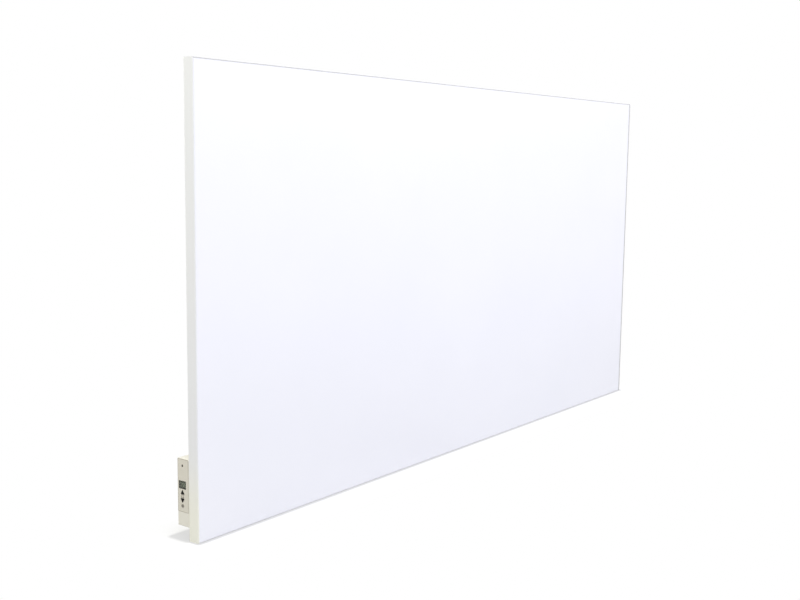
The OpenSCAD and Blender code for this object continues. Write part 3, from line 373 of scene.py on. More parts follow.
platingLook = {
    "pale": rgb(214, 217, 222),
    "warm": rgb(206, 200, 182),
    "dull": rgb(160, 163, 168),
    "tint": (140, 3),
    "stain": (420, 4),
    "stainFrom": (0.55, 0.75),     # the texture's values at a stain's edge and middle
    "stainShare": 0.5,
    "roughness": 0.26,
    "stainRoughness": 0.25,
    "grain": (1800, 2),
    "grainHeight": 0.006 * mm,
}


def zincPlating():
    finish = newFinish("zinc_plate")
    stain = finish.step(finish.noise(*platingLook["stain"]), *platingLook["stainFrom"])
    clean = finish.mix(finish.noise(*platingLook["tint"]), platingLook["pale"], platingLook["warm"])
    finish.surface({
        "Base Color": finish.mix(stain * platingLook["stainShare"], clean, platingLook["dull"]),
        "Metallic": 1,
        "Roughness": platingLook["roughness"] + stain * platingLook["stainRoughness"],
        "Normal": finish.bump(finish.noise(*platingLook["grain"]), platingLook["grainHeight"]),
    })


spangleLook = {
    "light": rgb(216, 219, 222),
    "dark": rgb(186, 190, 195),
    "bloom": rgb(226, 227, 227),
    "crystals": 210,               # per metre
    "patches": (30, 4),            # of white bloom
    "patchFrom": (0.5, 0.8),
    "patchShare": 0.5,
    "metallic": 0.9,
    "roughness": 0.36,
    "crystalRoughness": 0.14,
    "patchRoughness": 0.15,
    "pits": (900, 3),
    "pitDepth": 0.006 * mm,
}


def hotDippedSteel():
    finish = newFinish("galvanised_steel")
    crystal = finish.add("ShaderNodeSeparateColor", None, {0: finish.cells(spangleLook["crystals"])})
    patch = finish.step(finish.noise(*spangleLook["patches"]), *spangleLook["patchFrom"])
    spangle = finish.mix(crystal, spangleLook["dark"], spangleLook["light"])
    roughness = spangleLook["roughness"] + crystal * spangleLook["crystalRoughness"]
    finish.surface({
        "Base Color": finish.mix(patch * spangleLook["patchShare"], spangle, spangleLook["bloom"]),
        "Metallic": spangleLook["metallic"],
        "Roughness": roughness + patch * spangleLook["patchRoughness"],
        "Normal": finish.bump(finish.noise(*spangleLook["pits"]), spangleLook["pitDepth"]),
    })


aluminiumLook = {
    "aluminium_rivet": {"shade": rgb(210, 212, 214), "stretch": (1, 1, 1), "roughness": 0.34},
    "bare_aluminium": {"shade": rgb(214, 216, 218), "stretch": (0.02, 1, 1), "roughness": 0.22},
}
rolledTexture = {
    "dull": rgb(176, 178, 181),
    "lines": (900, 3),
    "lineShare": 0.6,
    "lineRoughness": 0.15,
    "lineDepth": 0.004 * mm,
    "smudge": (14, 3),
    "smudgeFrom": (0.4, 0.8),
    "smudgeShare": 0.2,
    "smudgeRoughness": 0.1,
}


def aluminium(slot, look):
    finish = newFinish(slot)
    lines = finish.noise(*rolledTexture["lines"], stretch=look["stretch"])
    smudge = finish.step(finish.noise(*rolledTexture["smudge"]), *rolledTexture["smudgeFrom"])
    dullness = lines * rolledTexture["lineShare"] + smudge * rolledTexture["smudgeShare"]
    roughness = look["roughness"] + lines * rolledTexture["lineRoughness"]
    finish.surface({
        "Base Color": finish.mix(dullness, look["shade"], rolledTexture["dull"]),
        "Metallic": 1,
        "Roughness": roughness + smudge * rolledTexture["smudgeRoughness"],
        "Normal": finish.bump(lines, rolledTexture["lineDepth"]),
    })


ceramicLook = {
    "speck": rgb(196, 188, 170),
    "pale": rgb(240, 236, 224),
    "warm": rgb(228, 222, 206),
    "cells": 2600,                 # per metre, each with a speck in its middle
    "speckEdge": (0.1, 0.35),      # of the cell's size
    "cloud": (260, 3),
    "cloudHeight": 0.02 * mm,
    "roughness": 0.55,
    "cloudRoughness": 0.2,
}


def ceramic():
    finish = newFinish("spacer_ceramic")
    plain = finish.step(finish.cells(ceramicLook["cells"], "Distance"), *ceramicLook["speckEdge"])
    cloud = finish.noise(*ceramicLook["cloud"])
    body = finish.mix(cloud, ceramicLook["pale"], ceramicLook["warm"])
    finish.surface({
        "Base Color": finish.mix(plain, ceramicLook["speck"], body),
        "Roughness": ceramicLook["roughness"] + cloud * ceramicLook["cloudRoughness"],
        "Normal": finish.bump(cloud, ceramicLook["cloudHeight"]),
    })


micaLook = {
    "tones": [(0, rgb(150, 126, 84)), (1, rgb(214, 192, 146)), (0.55, rgb(186, 160, 112))],
    "largeFlakes": 120,            # per metre
    "smallFlakes": 700,
    "largeShare": 0.6,
    "smallShare": 0.4,
    "roughness": 0.3,
    "smallRoughness": 0.3,
    "largeMetallic": 0.15,
    "smallHeight": 0.5,            # of the large flakes'
    "height": 0.01 * mm,
}


def micaSheet():
    finish = newFinish("mica")
    large = finish.add("ShaderNodeSeparateColor", None, {0: finish.cells(micaLook["largeFlakes"])})
    small = finish.add("ShaderNodeSeparateColor", None, {0: finish.cells(micaLook["smallFlakes"])})
    tone = large * micaLook["largeShare"] + small * micaLook["smallShare"]
    finish.surface({
        "Base Color": finish.ramp(tone, micaLook["tones"]),
        "Roughness": micaLook["roughness"] + small * micaLook["smallRoughness"],
        "Metallic": large * micaLook["largeMetallic"],
        "Normal": finish.bump(large + small * micaLook["smallHeight"], micaLook["height"]),
    })


alloyLook = {
    "tones": [(0.3, rgb(120, 118, 116)), (0.7, rgb(140, 124, 104)), (0.5, rgb(112, 108, 118))],
    "heat": (22, 2),
    "drawn": (1600, 2),
    "drawnStretch": (1, 1, 0.05),
    "drawnHeight": 0.004 * mm,
    "metallic": 0.9,
    "roughness": 0.4,
    "drawnRoughness": 0.25,
}


def resistanceAlloy():
    finish = newFinish("resistance_alloy")
    drawn = finish.noise(*alloyLook["drawn"], stretch=alloyLook["drawnStretch"])
    finish.surface({
        "Base Color": finish.ramp(finish.noise(*alloyLook["heat"]), alloyLook["tones"]),
        "Metallic": alloyLook["metallic"],
        "Roughness": alloyLook["roughness"] + drawn * alloyLook["drawnRoughness"],
        "Normal": finish.bump(drawn, alloyLook["drawnHeight"]),
    })


brassLook = {
    "shade": rgb(214, 184, 108),
    "tarnished": rgb(150, 118, 66),
    "tarnish": (300, 4),
    "tarnishFrom": (0.45, 0.75),
    "tarnishShare": 0.6,
    "turned": (2200, 2),
    "turnedStretch": (0.1, 1, 0.1),
    "turnedHeight": 0.005 * mm,
    "roughness": 0.24,
    "tarnishRoughness": 0.25,
    "turnedRoughness": 0.1,
}


def brassFinish():
    finish = newFinish("brass")
    tarnish = finish.step(finish.noise(*brassLook["tarnish"]), *brassLook["tarnishFrom"])
    turned = finish.noise(*brassLook["turned"], stretch=brassLook["turnedStretch"])
    share = tarnish * brassLook["tarnishShare"]
    roughness = brassLook["roughness"] + tarnish * brassLook["tarnishRoughness"]
    finish.surface({
        "Base Color": finish.mix(share, brassLook["shade"], brassLook["tarnished"]),
        "Metallic": 1,
        "Roughness": roughness + turned * brassLook["turnedRoughness"],
        "Normal": finish.bump(turned, brassLook["turnedHeight"]),
    })


mouldedLook = {  # plastics, rubbers and sleeves; the grain is given per metre
    "housing_plastic": {
        "shade": rgb(245, 242, 230), "drift": rgb(239, 235, 222),
        "grain": 1500, "height": 0.02 * mm, "roughness": 0.46,
    },
    "dark_moulding": {
        "shade": rgb(44, 44, 46), "drift": rgb(56, 55, 56),
        "grain": 1900, "height": 0.015 * mm, "roughness": 0.42,
    },
    "black_rubber": {
        "shade": rgb(32, 32, 32), "drift": rgb(52, 51, 49),
        "grain": 900, "height": 0.03 * mm, "roughness": 0.72,
    },
    "brown_silicone": {
        "shade": rgb(104, 62, 38), "drift": rgb(122, 76, 50),
        "grain": 1200, "height": 0.01 * mm, "roughness": 0.5,
    },
    "blue_silicone": {
        "shade": rgb(56, 104, 164), "drift": rgb(74, 122, 178),
        "grain": 1200, "height": 0.01 * mm, "roughness": 0.5,
    },
    "black_key": {
        "shade": rgb(14, 11, 8), "drift": rgb(22, 18, 14),
        "grain": 2400, "height": 0.01 * mm, "roughness": 0.56, "shine": 0.12,
    },
    "pale_key": {
        "shade": rgb(222, 216, 202), "drift": rgb(212, 205, 190),
        "grain": 2400, "height": 0.01 * mm, "roughness": 0.5,
    },
    "grey_key": {
        "shade": rgb(160, 154, 143), "drift": rgb(150, 144, 132),
        "grain": 2400, "height": 0.01 * mm, "roughness": 0.48, "mark": rgb(84, 78, 70),
    },
    "plunger_plastic": {
        "shade": rgb(150, 42, 36), "drift": rgb(166, 56, 46),
        "grain": 2000, "height": 0.008 * mm, "roughness": 0.38,
    },
    "cable_grey": {
        "shade": rgb(168, 170, 172), "drift": rgb(150, 152, 156),
        "grain": 1400, "height": 0.01 * mm, "roughness": 0.48,
    },
    "terminal_green": {
        "shade": rgb(46, 120, 78), "drift": rgb(58, 134, 90),
        "grain": 1600, "height": 0.015 * mm, "roughness": 0.4,
    },
    "gland_nylon": {
        "shade": rgb(206, 204, 198), "drift": rgb(194, 191, 184),
        "grain": 1300, "height": 0.015 * mm, "roughness": 0.45,
    },
}
mouldedTexture = {
    "cloud": (45, 3),
    "cloudShare": 0.8,
    "grainDetail": 3,
    "grainShare": 0.2,
    "grainRoughness": 0.16,
    "handled": (120, 4),
    "handledFrom": (0.58, 0.8),
    "handledRoughness": 0.08,
    "shine": 0.5,
}
powerMark = {  # printed on the power key
    "radius": 1.05 * mm,
    "line": 0.2 * mm,              # half the width of its ring and bar
    "gap": 2.4,                    # half the ring's gap, in lines
    "barFrom": 0.1,                # of the radius
    "barTo": 1.3,
    "capDepth": 0.3 * mm,          # only on the key's cap
}
face = {
    "x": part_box("face_plate")[0].x,
    "y": (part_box("set_key")[0].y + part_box("set_key")[1].y) / 2,
    "set": (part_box("set_key")[0].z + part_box("set_key")[1].z) / 2,
    "power": (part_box("power_key")[0].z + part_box("power_key")[1].z) / 2,
}


def powerMarking(finish):
    x, y, z = finish.axes()
    side = abs(y - face["y"])
    up = z - face["power"]
    radius, line = powerMark["radius"], powerMark["line"]
    ring = abs((side * side + up * up) ** 0.5 - radius) < line
    gap = (side < line * powerMark["gap"]) * (up > 0)
    bar = (side < line) * (up > radius * powerMark["barFrom"]) * (up < radius * powerMark["barTo"])
    return (ring * (1 - gap)).most(bar) * (x < face["x"] - powerMark["capDepth"])


def moulded(slot, look):
    finish = newFinish(slot)
    cloud = finish.noise(*mouldedTexture["cloud"])
    grain = finish.noise(look["grain"], mouldedTexture["grainDetail"])
    handled = finish.step(finish.noise(*mouldedTexture["handled"]), *mouldedTexture["handledFrom"])
    tone = cloud * mouldedTexture["cloudShare"] + grain * mouldedTexture["grainShare"]
    plain = finish.mix(tone, look["shade"], look["drift"])
    if "mark" in look:
        plain = finish.mix(powerMarking(finish), plain, look["mark"])
    roughness = look["roughness"] + (grain - 0.5) * mouldedTexture["grainRoughness"]
    finish.surface({
        "Base Color": plain,
        "Roughness": roughness + handled * mouldedTexture["handledRoughness"],
        "Normal": finish.bump(grain, look["height"]),
        "Specular IOR Level": look.get("shine", mouldedTexture["shine"]),
    })


earthLook = {
    "yellow": rgb(222, 198, 40),
    "green": rgb(44, 128, 62),
    "wave": 2600,                  # radians per metre, across the sleeve
    "lean": 0.4,
    "edge": (-0.2, 0.2),           # of the wave's height
    "grain": (1200, 2),
    "grainHeight": 0.01 * mm,
    "roughness": 0.46,
    "grainRoughness": 0.12,
}


def earthSleeve():
    finish = newFinish("green_silicone")
    x, y, z = finish.axes()
    stripe = finish.step(((y + z * earthLook["lean"]) * earthLook["wave"]).sine(), *earthLook["edge"])
    grain = finish.noise(*earthLook["grain"])
    finish.surface({
        "Base Color": finish.mix(stripe, earthLook["yellow"], earthLook["green"]),
        "Roughness": earthLook["roughness"] + grain * earthLook["grainRoughness"],
        "Normal": finish.bump(grain, earthLook["grainHeight"]),
    })


boardLook = {
    "resist": rgb(24, 84, 44),
    "drift": rgb(34, 98, 54),
    "track": rgb(66, 134, 78),
    "solder": rgb(196, 192, 178),
    "pitch": 2.54 * mm,
    "trackWave": (0.3, 0.42),      # of the wave's height, at a track's middle and edge
    "areas": 48,                   # per metre, each with its own direction of tracks
    "rowAreas": 0.5,
    "padAreas": 0.55,
    "padWave": (0.16, 0.22),
    "padMetallic": 0.8,
    "padGloss": 0.08,
    "weave": (1500, 2),
    "weaveRoughness": 0.15,
    "roughness": 0.34,
    "trackHeight": 0.6,            # of a pad's height
    "weaveHeight": 0.3,
    "padHeight": 0.02 * mm,
}


def circuitBoard():
    finish = newFinish("circuit_board")
    x, y, z = finish.axes()
    turn = math.pi / boardLook["pitch"]
    rows = abs((z * turn).sine())
    columns = abs(((x + y) * turn).sine())
    area = finish.add("ShaderNodeSeparateColor", None, {0: finish.cells(boardLook["areas"])})
    level = area > boardLook["rowAreas"]
    track = 1 - finish.step(rows * level + columns * (1 - level), *boardLook["trackWave"])
    chosen = Socket(finish, area.output.node.outputs[1]) > boardLook["padAreas"]
    pad = (1 - finish.step(rows * rows + columns * columns, *boardLook["padWave"])) * chosen
    weave = finish.noise(*boardLook["weave"])
    plain = finish.mix(weave, boardLook["resist"], boardLook["drift"])
    roughness = boardLook["roughness"] + weave * boardLook["weaveRoughness"]
    height = track * boardLook["trackHeight"] + pad + weave * boardLook["weaveHeight"]
    finish.surface({
        "Base Color": finish.mix(pad, finish.mix(track, plain, boardLook["track"]), boardLook["solder"]),
        "Metallic": pad * boardLook["padMetallic"],
        "Roughness": roughness - pad * boardLook["padGloss"],
        "Normal": finish.bump(height, boardLook["padHeight"]),
    })


# The control unit's film with its print, its window, display and lamp

filmLook = {
    "shade": rgb(233, 228, 214),
    "drift": rgb(226, 221, 207),
    "print": rgb(84, 76, 66),
    "frameHalf": 2.1 * mm,         # printed outline round the set key
    "frameLine": 0.3 * mm,
    "frameEdge": 0.8,              # where each print starts to fade, as a share of its width
    "bezel": rgb(98, 98, 86),
    "bezelWidth": 0.7 * mm,        # printed round the display
    "bezelEdge": 0.85,
    # painted shade round the film's edges, where its edge step falls in shadow
    "rim": rgb(196, 190, 175),
    "edgeShadeWidth": 1.1 * mm,
    "edgeShadeFade": 0.5,
    "cloud": (50, 3),
    "velvet": (4200, 2),
    "velvetHeight": 0.006 * mm,
    "roughness": 0.42,
    "velvetRoughness": 0.14,
    "printRoughness": 0.08,
}


def faceFilm():
    finish = newFinish("face_film")
    x, y, z = finish.axes()
    reach = abs(abs(y - face["y"]).most(abs(z - face["set"])) - filmLook["frameHalf"])
    low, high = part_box("display_window")
    outside = (low.y - y).most(y - high.y).most(low.z - z).most(z - high.z)
    low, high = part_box("face_plate")
    inside = (y - low.y).least(high.y - y).least(z - low.z).least(high.z - z)
    frameLine, bezel, rim = [
        1 - finish.step(away, width * edge, width)
        for away, width, edge in (
            (reach, filmLook["frameLine"], filmLook["frameEdge"]),
            (outside, filmLook["bezelWidth"], filmLook["bezelEdge"]),
            (inside, filmLook["edgeShadeWidth"], filmLook["edgeShadeFade"]),
        )
    ]
    velvet = finish.noise(*filmLook["velvet"])
    plain = finish.mix(finish.noise(*filmLook["cloud"]), filmLook["shade"], filmLook["drift"])
    # the rim colour is painted shade round the film's edges; the bezel is printed round the display
    plain = finish.mix(bezel, finish.mix(rim, plain, filmLook["rim"]), filmLook["bezel"])
    roughness = filmLook["roughness"] + velvet * filmLook["velvetRoughness"]
    finish.surface({
        "Base Color": finish.mix(frameLine, plain, filmLook["print"]),
        "Roughness": roughness + frameLine * filmLook["printRoughness"],
        "Normal": finish.bump(velvet, filmLook["velvetHeight"]),
    })


windowLook = {
    "shade": rgb(226, 232, 222),
    "scuffed": rgb(206, 210, 204),
    "scuff": (900, 4),
    "scuffFrom": (0.62, 0.8),
    "scuffShare": 0.3,
    "roughness": 0.05,
    "scuffRoughness": 0.2,
    "refraction": 1.35,
}


def windowPlastic():
    finish = newFinish("window_plastic")
    scuff = finish.step(finish.noise(*windowLook["scuff"]), *windowLook["scuffFrom"])
    share = scuff * windowLook["scuffShare"]
    finish.surface({
        "Base Color": finish.mix(share, windowLook["shade"], windowLook["scuffed"]),
        "Roughness": windowLook["roughness"] + scuff * windowLook["scuffRoughness"],
        "Transmission Weight": 1,
        "IOR": windowLook["refraction"],
    })


displayLook = {
    "glass": rgb(126, 128, 112),
    "deep": rgb(110, 112, 98),
    "border": rgb(60, 60, 52),
    "half": (4.3 * mm, 3.1 * mm),  # of the pale area, across and up
    "borderEdge": 0.6 * mm,
    "cloud": (240, 2),
    "cloudHeight": 0.004 * mm,
    "roughness": 0.22,
    "cloudRoughness": 0.1,
}


def displayGlass(middle):
    finish = newFinish("display_glass")
    x, y, z = finish.axes()
    across, upward = displayLook["half"]
    outside = (abs(y - middle.y) - across).most(abs(z - middle.z) - upward)
    border = finish.step(outside, 0, displayLook["borderEdge"])
    cloud = finish.noise(*displayLook["cloud"])
    glass = finish.mix(cloud, displayLook["glass"], displayLook["deep"])
    finish.surface({
        "Base Color": finish.mix(border, glass, displayLook["border"]),
        "Roughness": displayLook["roughness"] + cloud * displayLook["cloudRoughness"],
        "Normal": finish.bump(cloud, displayLook["cloudHeight"]),
    })


lampLook = {
    "shade": rgb(58, 52, 47),
    "hazy": rgb(74, 66, 58),
    "haze": (700, 2),
    "hazeHeight": 0.006 * mm,
    "roughness": 0.18,
    "hazeRoughness": 0.12,
    "clearness": 0.25,
    "refraction": 1.5,
}


def lampPlastic():
    finish = newFinish("lamp_plastic")
    haze = finish.noise(*lampLook["haze"])
    finish.surface({
        "Base Color": finish.mix(haze, lampLook["shade"], lampLook["hazy"]),
        "Roughness": lampLook["roughness"] + haze * lampLook["hazeRoughness"],
        "Transmission Weight": lampLook["clearness"],
        "IOR": lampLook["refraction"],
        "Normal": finish.bump(haze, lampLook["hazeHeight"]),
    })


def middleOf(node):
    low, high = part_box(node)
    return (low + high) / 2


for slot, look in enamelLook.items():
    powderCoat(slot, look)
zincPlating()
hotDippedSteel()
for slot, look in aluminiumLook.items():
    aluminium(slot, look)
ceramic()
micaSheet()
resistanceAlloy()
brassFinish()
for slot, look in mouldedLook.items():
    moulded(slot, look)
earthSleeve()
circuitBoard()
faceFilm()
windowPlastic()
displayGlass(middleOf("display_window"))
lampPlastic()
for node in nodes.values():
    node.material_slots[0].material = finishes[node.material_slots[0].material.name]
print("finishes made:", len(finishes))

# Shaping helpers

shaping = {
    "weld": 0.0001 * mm,
    "sharp": 35,                   # degrees, from which an edge is drawn sharp
    "cornerSegments": 5,
    "rimSegments": 3,
    "round": 0.5,                  # a bevel's profile, part of a circle
}


def finishPiece(shape, name, slot, body="root", stands=(), sharp=shaping["sharp"]):
    bmesh.ops.remove_doubles(shape, verts=shape.verts, dist=shaping["weld"])
    bmesh.ops.recalc_face_normals(shape, faces=shape.faces)
    mesh = bpy.data.meshes.new(name)
    shape.to_mesh(mesh)
    shape.free()
    mesh.polygons.foreach_set("use_smooth", [True] * len(mesh.polygons))
    mesh.set_sharp_from_angle(angle=math.radians(sharp))
    mesh.materials.append(finishes[slot])
    piece = bpy.data.objects.new(name, mesh)
    bpy.context.scene.collection.objects.link(piece)
    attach(piece, body)
    if stands:
        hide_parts(*stands)
    return piece


def facingPlate(shape, outline, rounding, xBack, xFront, rim):
    # A plate in Y and Z: rounded corners, grown from xBack to xFront, with a softened front rim
    corners = [shape.verts.new((xBack, y, z)) for y, z in outline]
    shape.faces.new(corners)
    rounded = bmesh.ops.bevel(
        shape, geom=corners, affect="VERTICES", offset=rounding, segments=shaping["cornerSegments"],
        profile=shaping["round"], material=-1, clamp_overlap=True)
    start = rounded["verts"][0].link_faces[0]
    grown = bmesh.ops.extrude_face_region(shape, geom=[start])
    moved = [v for v in grown["geom"] if isinstance(v, bmesh.types.BMVert)]
    bmesh.ops.translate(shape, verts=moved, vec=(xFront - xBack, 0, 0))
    fresh = set(moved)
    rimEdges = [e for e in shape.edges if all(v in fresh for v in e.verts)]
    bmesh.ops.recalc_face_normals(shape, faces=shape.faces)
    bmesh.ops.bevel(
        shape, geom=rimEdges, affect="EDGES", offset=rim, segments=shaping["rimSegments"],
        profile=shaping["round"], material=-1, clamp_overlap=True)


def rectangle(middleY, middleZ, width, height):
    corners = ((-1, -1), (1, -1), (1, 1), (-1, 1))
    return [(middleY + a * width / 2, middleZ + b * height / 2) for a, b in corners]


def turned(shape, profile, centre, axis, steps):
    # Spins a profile of (along, radius) pairs about an axis that passes through centre
    along = Vector(axis)
    out = Vector((0, 0, 1))
    line = [shape.verts.new(centre + along * a + out * r) for a, r in profile]
    edges = [shape.edges.new(pair) for pair in zip(line, line[1:])]
    bmesh.ops.spin(
        shape, geom=line + edges, cent=centre, axis=along, angle=2 * math.pi, steps=steps, use_merge=True)


# Keys

keyLook = {
    "flangeThickness": 0.8 * mm,
    "flangeEdge": 0.1 * mm,
    "flangeSides": 40,
    "arrowWidth": 6.2 * mm,
    "arrowHeight": 5.2 * mm,
    "arrowTip": 0.35 * mm,
    "squareSide": 2.6 * mm,
    "squareCorner": 0.4 * mm,
    "powerRadius": 2 * mm,
    "powerSides": 48,
    "rim": 0.22 * mm,
}


def arrowOutline(middle, point):
    half = keyLook["arrowWidth"] / 2
    foot = middle.z - keyLook["arrowHeight"] / 2 * point
    tip = middle.z + keyLook["arrowHeight"] / 2 * point
    return [(middle.y - half, foot), (middle.y + half, foot), (middle.y, tip)]


def makeKey(name, node, slot, outline, rounding):
    low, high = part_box(node)
    middle = (low + high) / 2
    shape = bmesh.new()
    backX = high.x - keyLook["flangeThickness"] / 2
    if outline:
        facingPlate(shape, outline, rounding, backX, low.x, keyLook["rim"])
    else:
        radius = keyLook["powerRadius"]
        rim = keyLook["rim"]
        profile = [(0, 0), (0, radius - rim)]
        turns = (math.pi / 6, math.pi / 3)
        profile += [(rim * (1 - math.cos(a)), radius - rim * (1 - math.sin(a))) for a in turns]
        profile += [(rim, radius), (backX - low.x, radius), (backX - low.x, 0)]
        turned(shape, profile, Vector((low.x, middle.y, middle.z)), (1, 0, 0), keyLook["powerSides"])
    radius = (high.y - low.y) / 2
    thick, edge = keyLook["flangeThickness"], keyLook["flangeEdge"]
    flange = [(0, 0), (0, radius - edge), (edge, radius)]
    flange += [(thick - edge, radius), (thick, radius - edge), (thick, 0)]
    turned(shape, flange, Vector((high.x - thick, middle.y, middle.z)), (1, 0, 0), keyLook["flangeSides"])
    finishPiece(shape, name, slot, node, (node,))


up, down, square = middleOf("up_key"), middleOf("down_key"), middleOf("set_key")
squareOutline = rectangle(square.y, square.z, keyLook["squareSide"], keyLook["squareSide"])
makeKey("upArrowKey", "up_key", "black_key", arrowOutline(up, 1), keyLook["arrowTip"])
makeKey("downArrowKey", "down_key", "black_key", arrowOutline(down, -1), keyLook["arrowTip"])
makeKey("setSquareKey", "set_key", "pale_key", squareOutline, keyLook["squareCorner"])
makeKey("powerRoundKey", "power_key", "grey_key", None, 0)
print("keys made")

# Display and lamp

displayShape = {
    "corner": 0.4 * mm,
    "rim": 0.12 * mm,
    "glassThickness": 0.5 * mm,
    "glassInset": 0.4 * mm,
    "digitWidth": 2.2 * mm,
    "digitHeight": 4.4 * mm,
    "digitStep": 3.4 * mm,
    "stroke": 0.5 * mm,
    "strokeGap": 1.2,              # a bar is this many strokes shorter than its place
    "strokeCorner": 0.12 * mm,
    "strokeRim": 0.004 * mm,
    "proud": 0.03 * mm,            # how far the digits stand out from the glass
    "shown": "21",
}
segmentSets = {"2": "abged", "1": "bc"}


def makeWindow():
    low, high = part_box("display_window")
    middle = (low + high) / 2
    shape = bmesh.new()
    outline = rectangle(middle.y, middle.z, high.y - low.y, high.z - low.z)
    facingPlate(shape, outline, displayShape["corner"], high.x, low.x, displayShape["rim"])
    finishPiece(shape, "displayPane", "window_plastic", stands=("display_window",))


def makeDisplay():
    low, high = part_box("display_module")
    middle = (low + high) / 2
    glassX = low.x + displayShape["proud"]
    seatX = glassX + displayShape["glassThickness"]
    body = bmesh.new()
    outline = rectangle(middle.y, middle.z, high.y - low.y, high.z - low.z)
    facingPlate(body, outline, displayShape["corner"], high.x, seatX, displayShape["rim"])
    finishPiece(body, "displayBody", "dark_moulding", stands=("display_module",))
    glass = bmesh.new()
    inset = 2 * displayShape["glassInset"]
    outline = rectangle(middle.y, middle.z, high.y - low.y - inset, high.z - low.z - inset)
    facingPlate(glass, outline, displayShape["corner"], seatX, glassX, displayShape["rim"])
    finishPiece(glass, "displayCell", "display_glass")
    marks = bmesh.new()
    wide, tall, stroke = displayShape["digitWidth"], displayShape["digitHeight"], displayShape["stroke"]
    gap = displayShape["strokeGap"] * stroke
    bars = {  # middle of each bar as shares of the digit's half sizes, and whether it lies flat
        "a": (0, 1, True), "b": (1, 0.5, False), "c": (1, -0.5, False), "d": (0, -1, True),
        "e": (-1, -0.5, False), "f": (-1, 0.5, False), "g": (0, 0, True),
    }
    for i, digit in enumerate(displayShape["shown"]):
        start = (i - (len(displayShape["shown"]) - 1) / 2) * displayShape["digitStep"]
        for letter in segmentSets[digit]:
            across, rise, flat = bars[letter]
            y = middle.y - start - across * wide / 2     # the digits run from the wall side to the panel side
            z = middle.z + rise * tall / 2
            size = (wide - gap, stroke) if flat else (stroke, tall / 2 - gap)
            bar = rectangle(y, z, *size)
            facingPlate(marks, bar, displayShape["strokeCorner"], glassX, low.x, displayShape["strokeRim"])
    finishPiece(marks, "displayDigits", "dark_moulding")


lampShape = {"flangeLength": 1.2 * mm, "flangeWidth": 0.4 * mm, "domeSteps": 8, "sides": 40}


def makeLamp():
    low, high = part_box("status_lamp")
    middle = (low + high) / 2
    flangeRadius = (high.y - low.y) / 2
    radius = flangeRadius - lampShape["flangeWidth"]
    length = high.x - low.x
    flange = lampShape["flangeLength"]
    steps = lampShape["domeSteps"]
    arc = [i * math.pi / 2 / steps for i in range(steps + 1)]
    profile = [(radius * (1 - math.cos(a)), radius * math.sin(a)) for a in arc]
    profile += [(length - flange, radius), (length - flange, flangeRadius)]
    profile += [(length, flangeRadius), (length, 0)]
    shape = bmesh.new()
    turned(shape, profile, Vector((low.x, middle.y, middle.z)), (1, 0, 0), lampShape["sides"])
    finishPiece(shape, "lampLens", "lamp_plastic", stands=("status_lamp",))


makeWindow()
makeDisplay()
makeLamp()
print("display and lamp made")

# Rubber grommet, leads and flat cable

grommetShape = {
    "lip": 1.6 * mm,
    "lipSteps": 6,
    "lipWidth": 1.6 * mm,
    "bore": 5 * mm,
    "boreEdge": (0.4 * mm, 0.5 * mm),   # along the bore and outwards
    "hole": 7 * mm,
    "sides": 48,
}


def makeGrommet():
    low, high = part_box("wire_grommet")
    middle = (low + high) / 2
    lip = grommetShape["lip"]
    outer = grommetShape["hole"] + grommetShape["lipWidth"]
    bore, hole = grommetShape["bore"], grommetShape["hole"]
    depth = high.y - low.y
    steps = grommetShape["lipSteps"]
    bulge = [i * math.pi / steps for i in range(steps + 1)]
    nearLip = [(lip / 2 * (1 - math.cos(a)), outer - lip / 2 + lip / 2 * math.sin(a)) for a in bulge]
    farLip = [(depth - lip + a, r) for a, r in nearLip]
    along, outwards = grommetShape["boreEdge"]
    profile = [(along, bore), (0, bore + outwards)] + nearLip + [(lip, hole), (depth - lip, hole)] + farLip
    profile += [(depth, bore + outwards), (depth - along, bore), (along, bore)]
    shape = bmesh.new()
    turned(shape, profile, Vector((middle.x, low.y, middle.z)), (0, 1, 0), grommetShape["sides"])
    finishPiece(shape, "rubberGrommet", "black_rubber", stands=("wire_grommet",))


sleeves = {
    "slots": {
        "live_lead": "brown_silicone",
        "neutral_lead": "blue_silicone",
        "link_lead": "brown_silicone",
        "earth_lead": "green_silicone",
    },
    "joinAngle": 1.2,              # radians, under which two triangles become one face
    "weld": 0.001 * mm,
    "sharp": 180,                  # degrees, so that no edge is
}


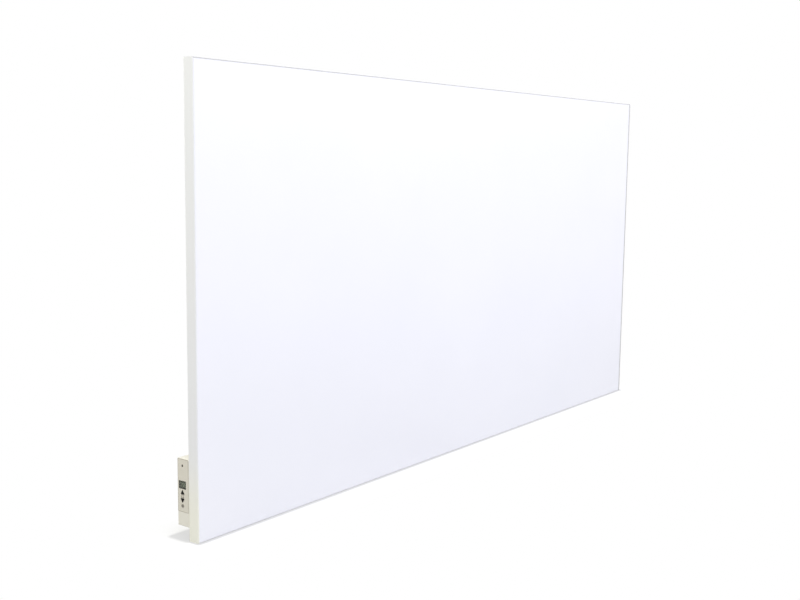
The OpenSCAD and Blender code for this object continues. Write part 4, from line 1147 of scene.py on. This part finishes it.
def makeLead(node, slot):
    shape = bmesh.new()
    shape.from_mesh(nodes[node].data)
    angle = sleeves["joinAngle"]
    bmesh.ops.remove_doubles(shape, verts=shape.verts, dist=sleeves["weld"])
    bmesh.ops.join_triangles(
        shape, faces=shape.faces, angle_face_threshold=angle, angle_shape_threshold=angle)
    piece = finishPiece(shape, node.replace("_lead", "Sleeve"), slot, stands=(node,), sharp=sleeves["sharp"])
    rounding = piece.modifiers.new("rounding", "SUBSURF")
    rounding.levels = rounding.render_levels = 1


flatCable = {
    "wires": 10,
    "wireRadius": 0.45 * mm,
    "turnRadius": 3 * mm,
    "turnSteps": 6,
    "sides": 8,
    "sharp": 60,                   # degrees
}


def makeFlatCable():
    low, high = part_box("board_cable")
    count = flatCable["wires"]
    pitch = (high.z - low.z) / count
    radius = flatCable["wireRadius"]
    turn, steps, sides = flatCable["turnRadius"], flatCable["turnSteps"], flatCable["sides"]
    shape = bmesh.new()
    for i in range(count):
        z = low.z + (i + 0.5) * pitch
        place = Matrix.Translation((low.x, high.y - radius, z)) @ Matrix.Rotation(math.pi / 2, 4, "Y")
        ring = bmesh.ops.create_circle(shape, cap_ends=True, segments=sides, radius=radius, matrix=place)
        run = bmesh.ops.extrude_face_region(shape, geom=[ring["verts"][0].link_faces[0]])
        verts = [v for v in run["geom"] if isinstance(v, bmesh.types.BMVert)]
        bmesh.ops.translate(shape, verts=verts, vec=(high.x - low.x - turn - radius, 0, 0))
        cap = [g for g in run["geom"] if isinstance(g, bmesh.types.BMFace)]
        centre = (high.x - turn - radius, high.y - radius - turn, z)
        bend = bmesh.ops.spin(shape, geom=cap, cent=centre, axis=(0, 0, -1), angle=math.pi / 2, steps=steps)
        foot = [g for g in bend["geom_last"] if isinstance(g, bmesh.types.BMFace)]
        run = bmesh.ops.extrude_face_region(shape, geom=foot)
        verts = [v for v in run["geom"] if isinstance(v, bmesh.types.BMVert)]
        bmesh.ops.translate(shape, verts=verts, vec=(0, low.y - (high.y - radius - turn), 0))
    # The caps left inside, where a wire's straight runs meet its bend
    inner = [f for f in shape.faces if all(len(e.link_faces) > 2 for e in f.edges)]
    bmesh.ops.delete(shape, geom=inner, context="FACES_ONLY")
    finishPiece(shape, "ribbedCable", "cable_grey", stands=("board_cable",), sharp=flatCable["sharp"])


makeGrommet()
for node, slot in sleeves["slots"].items():
    makeLead(node, slot)
makeFlatCable()
print("grommet, leads and cable made")
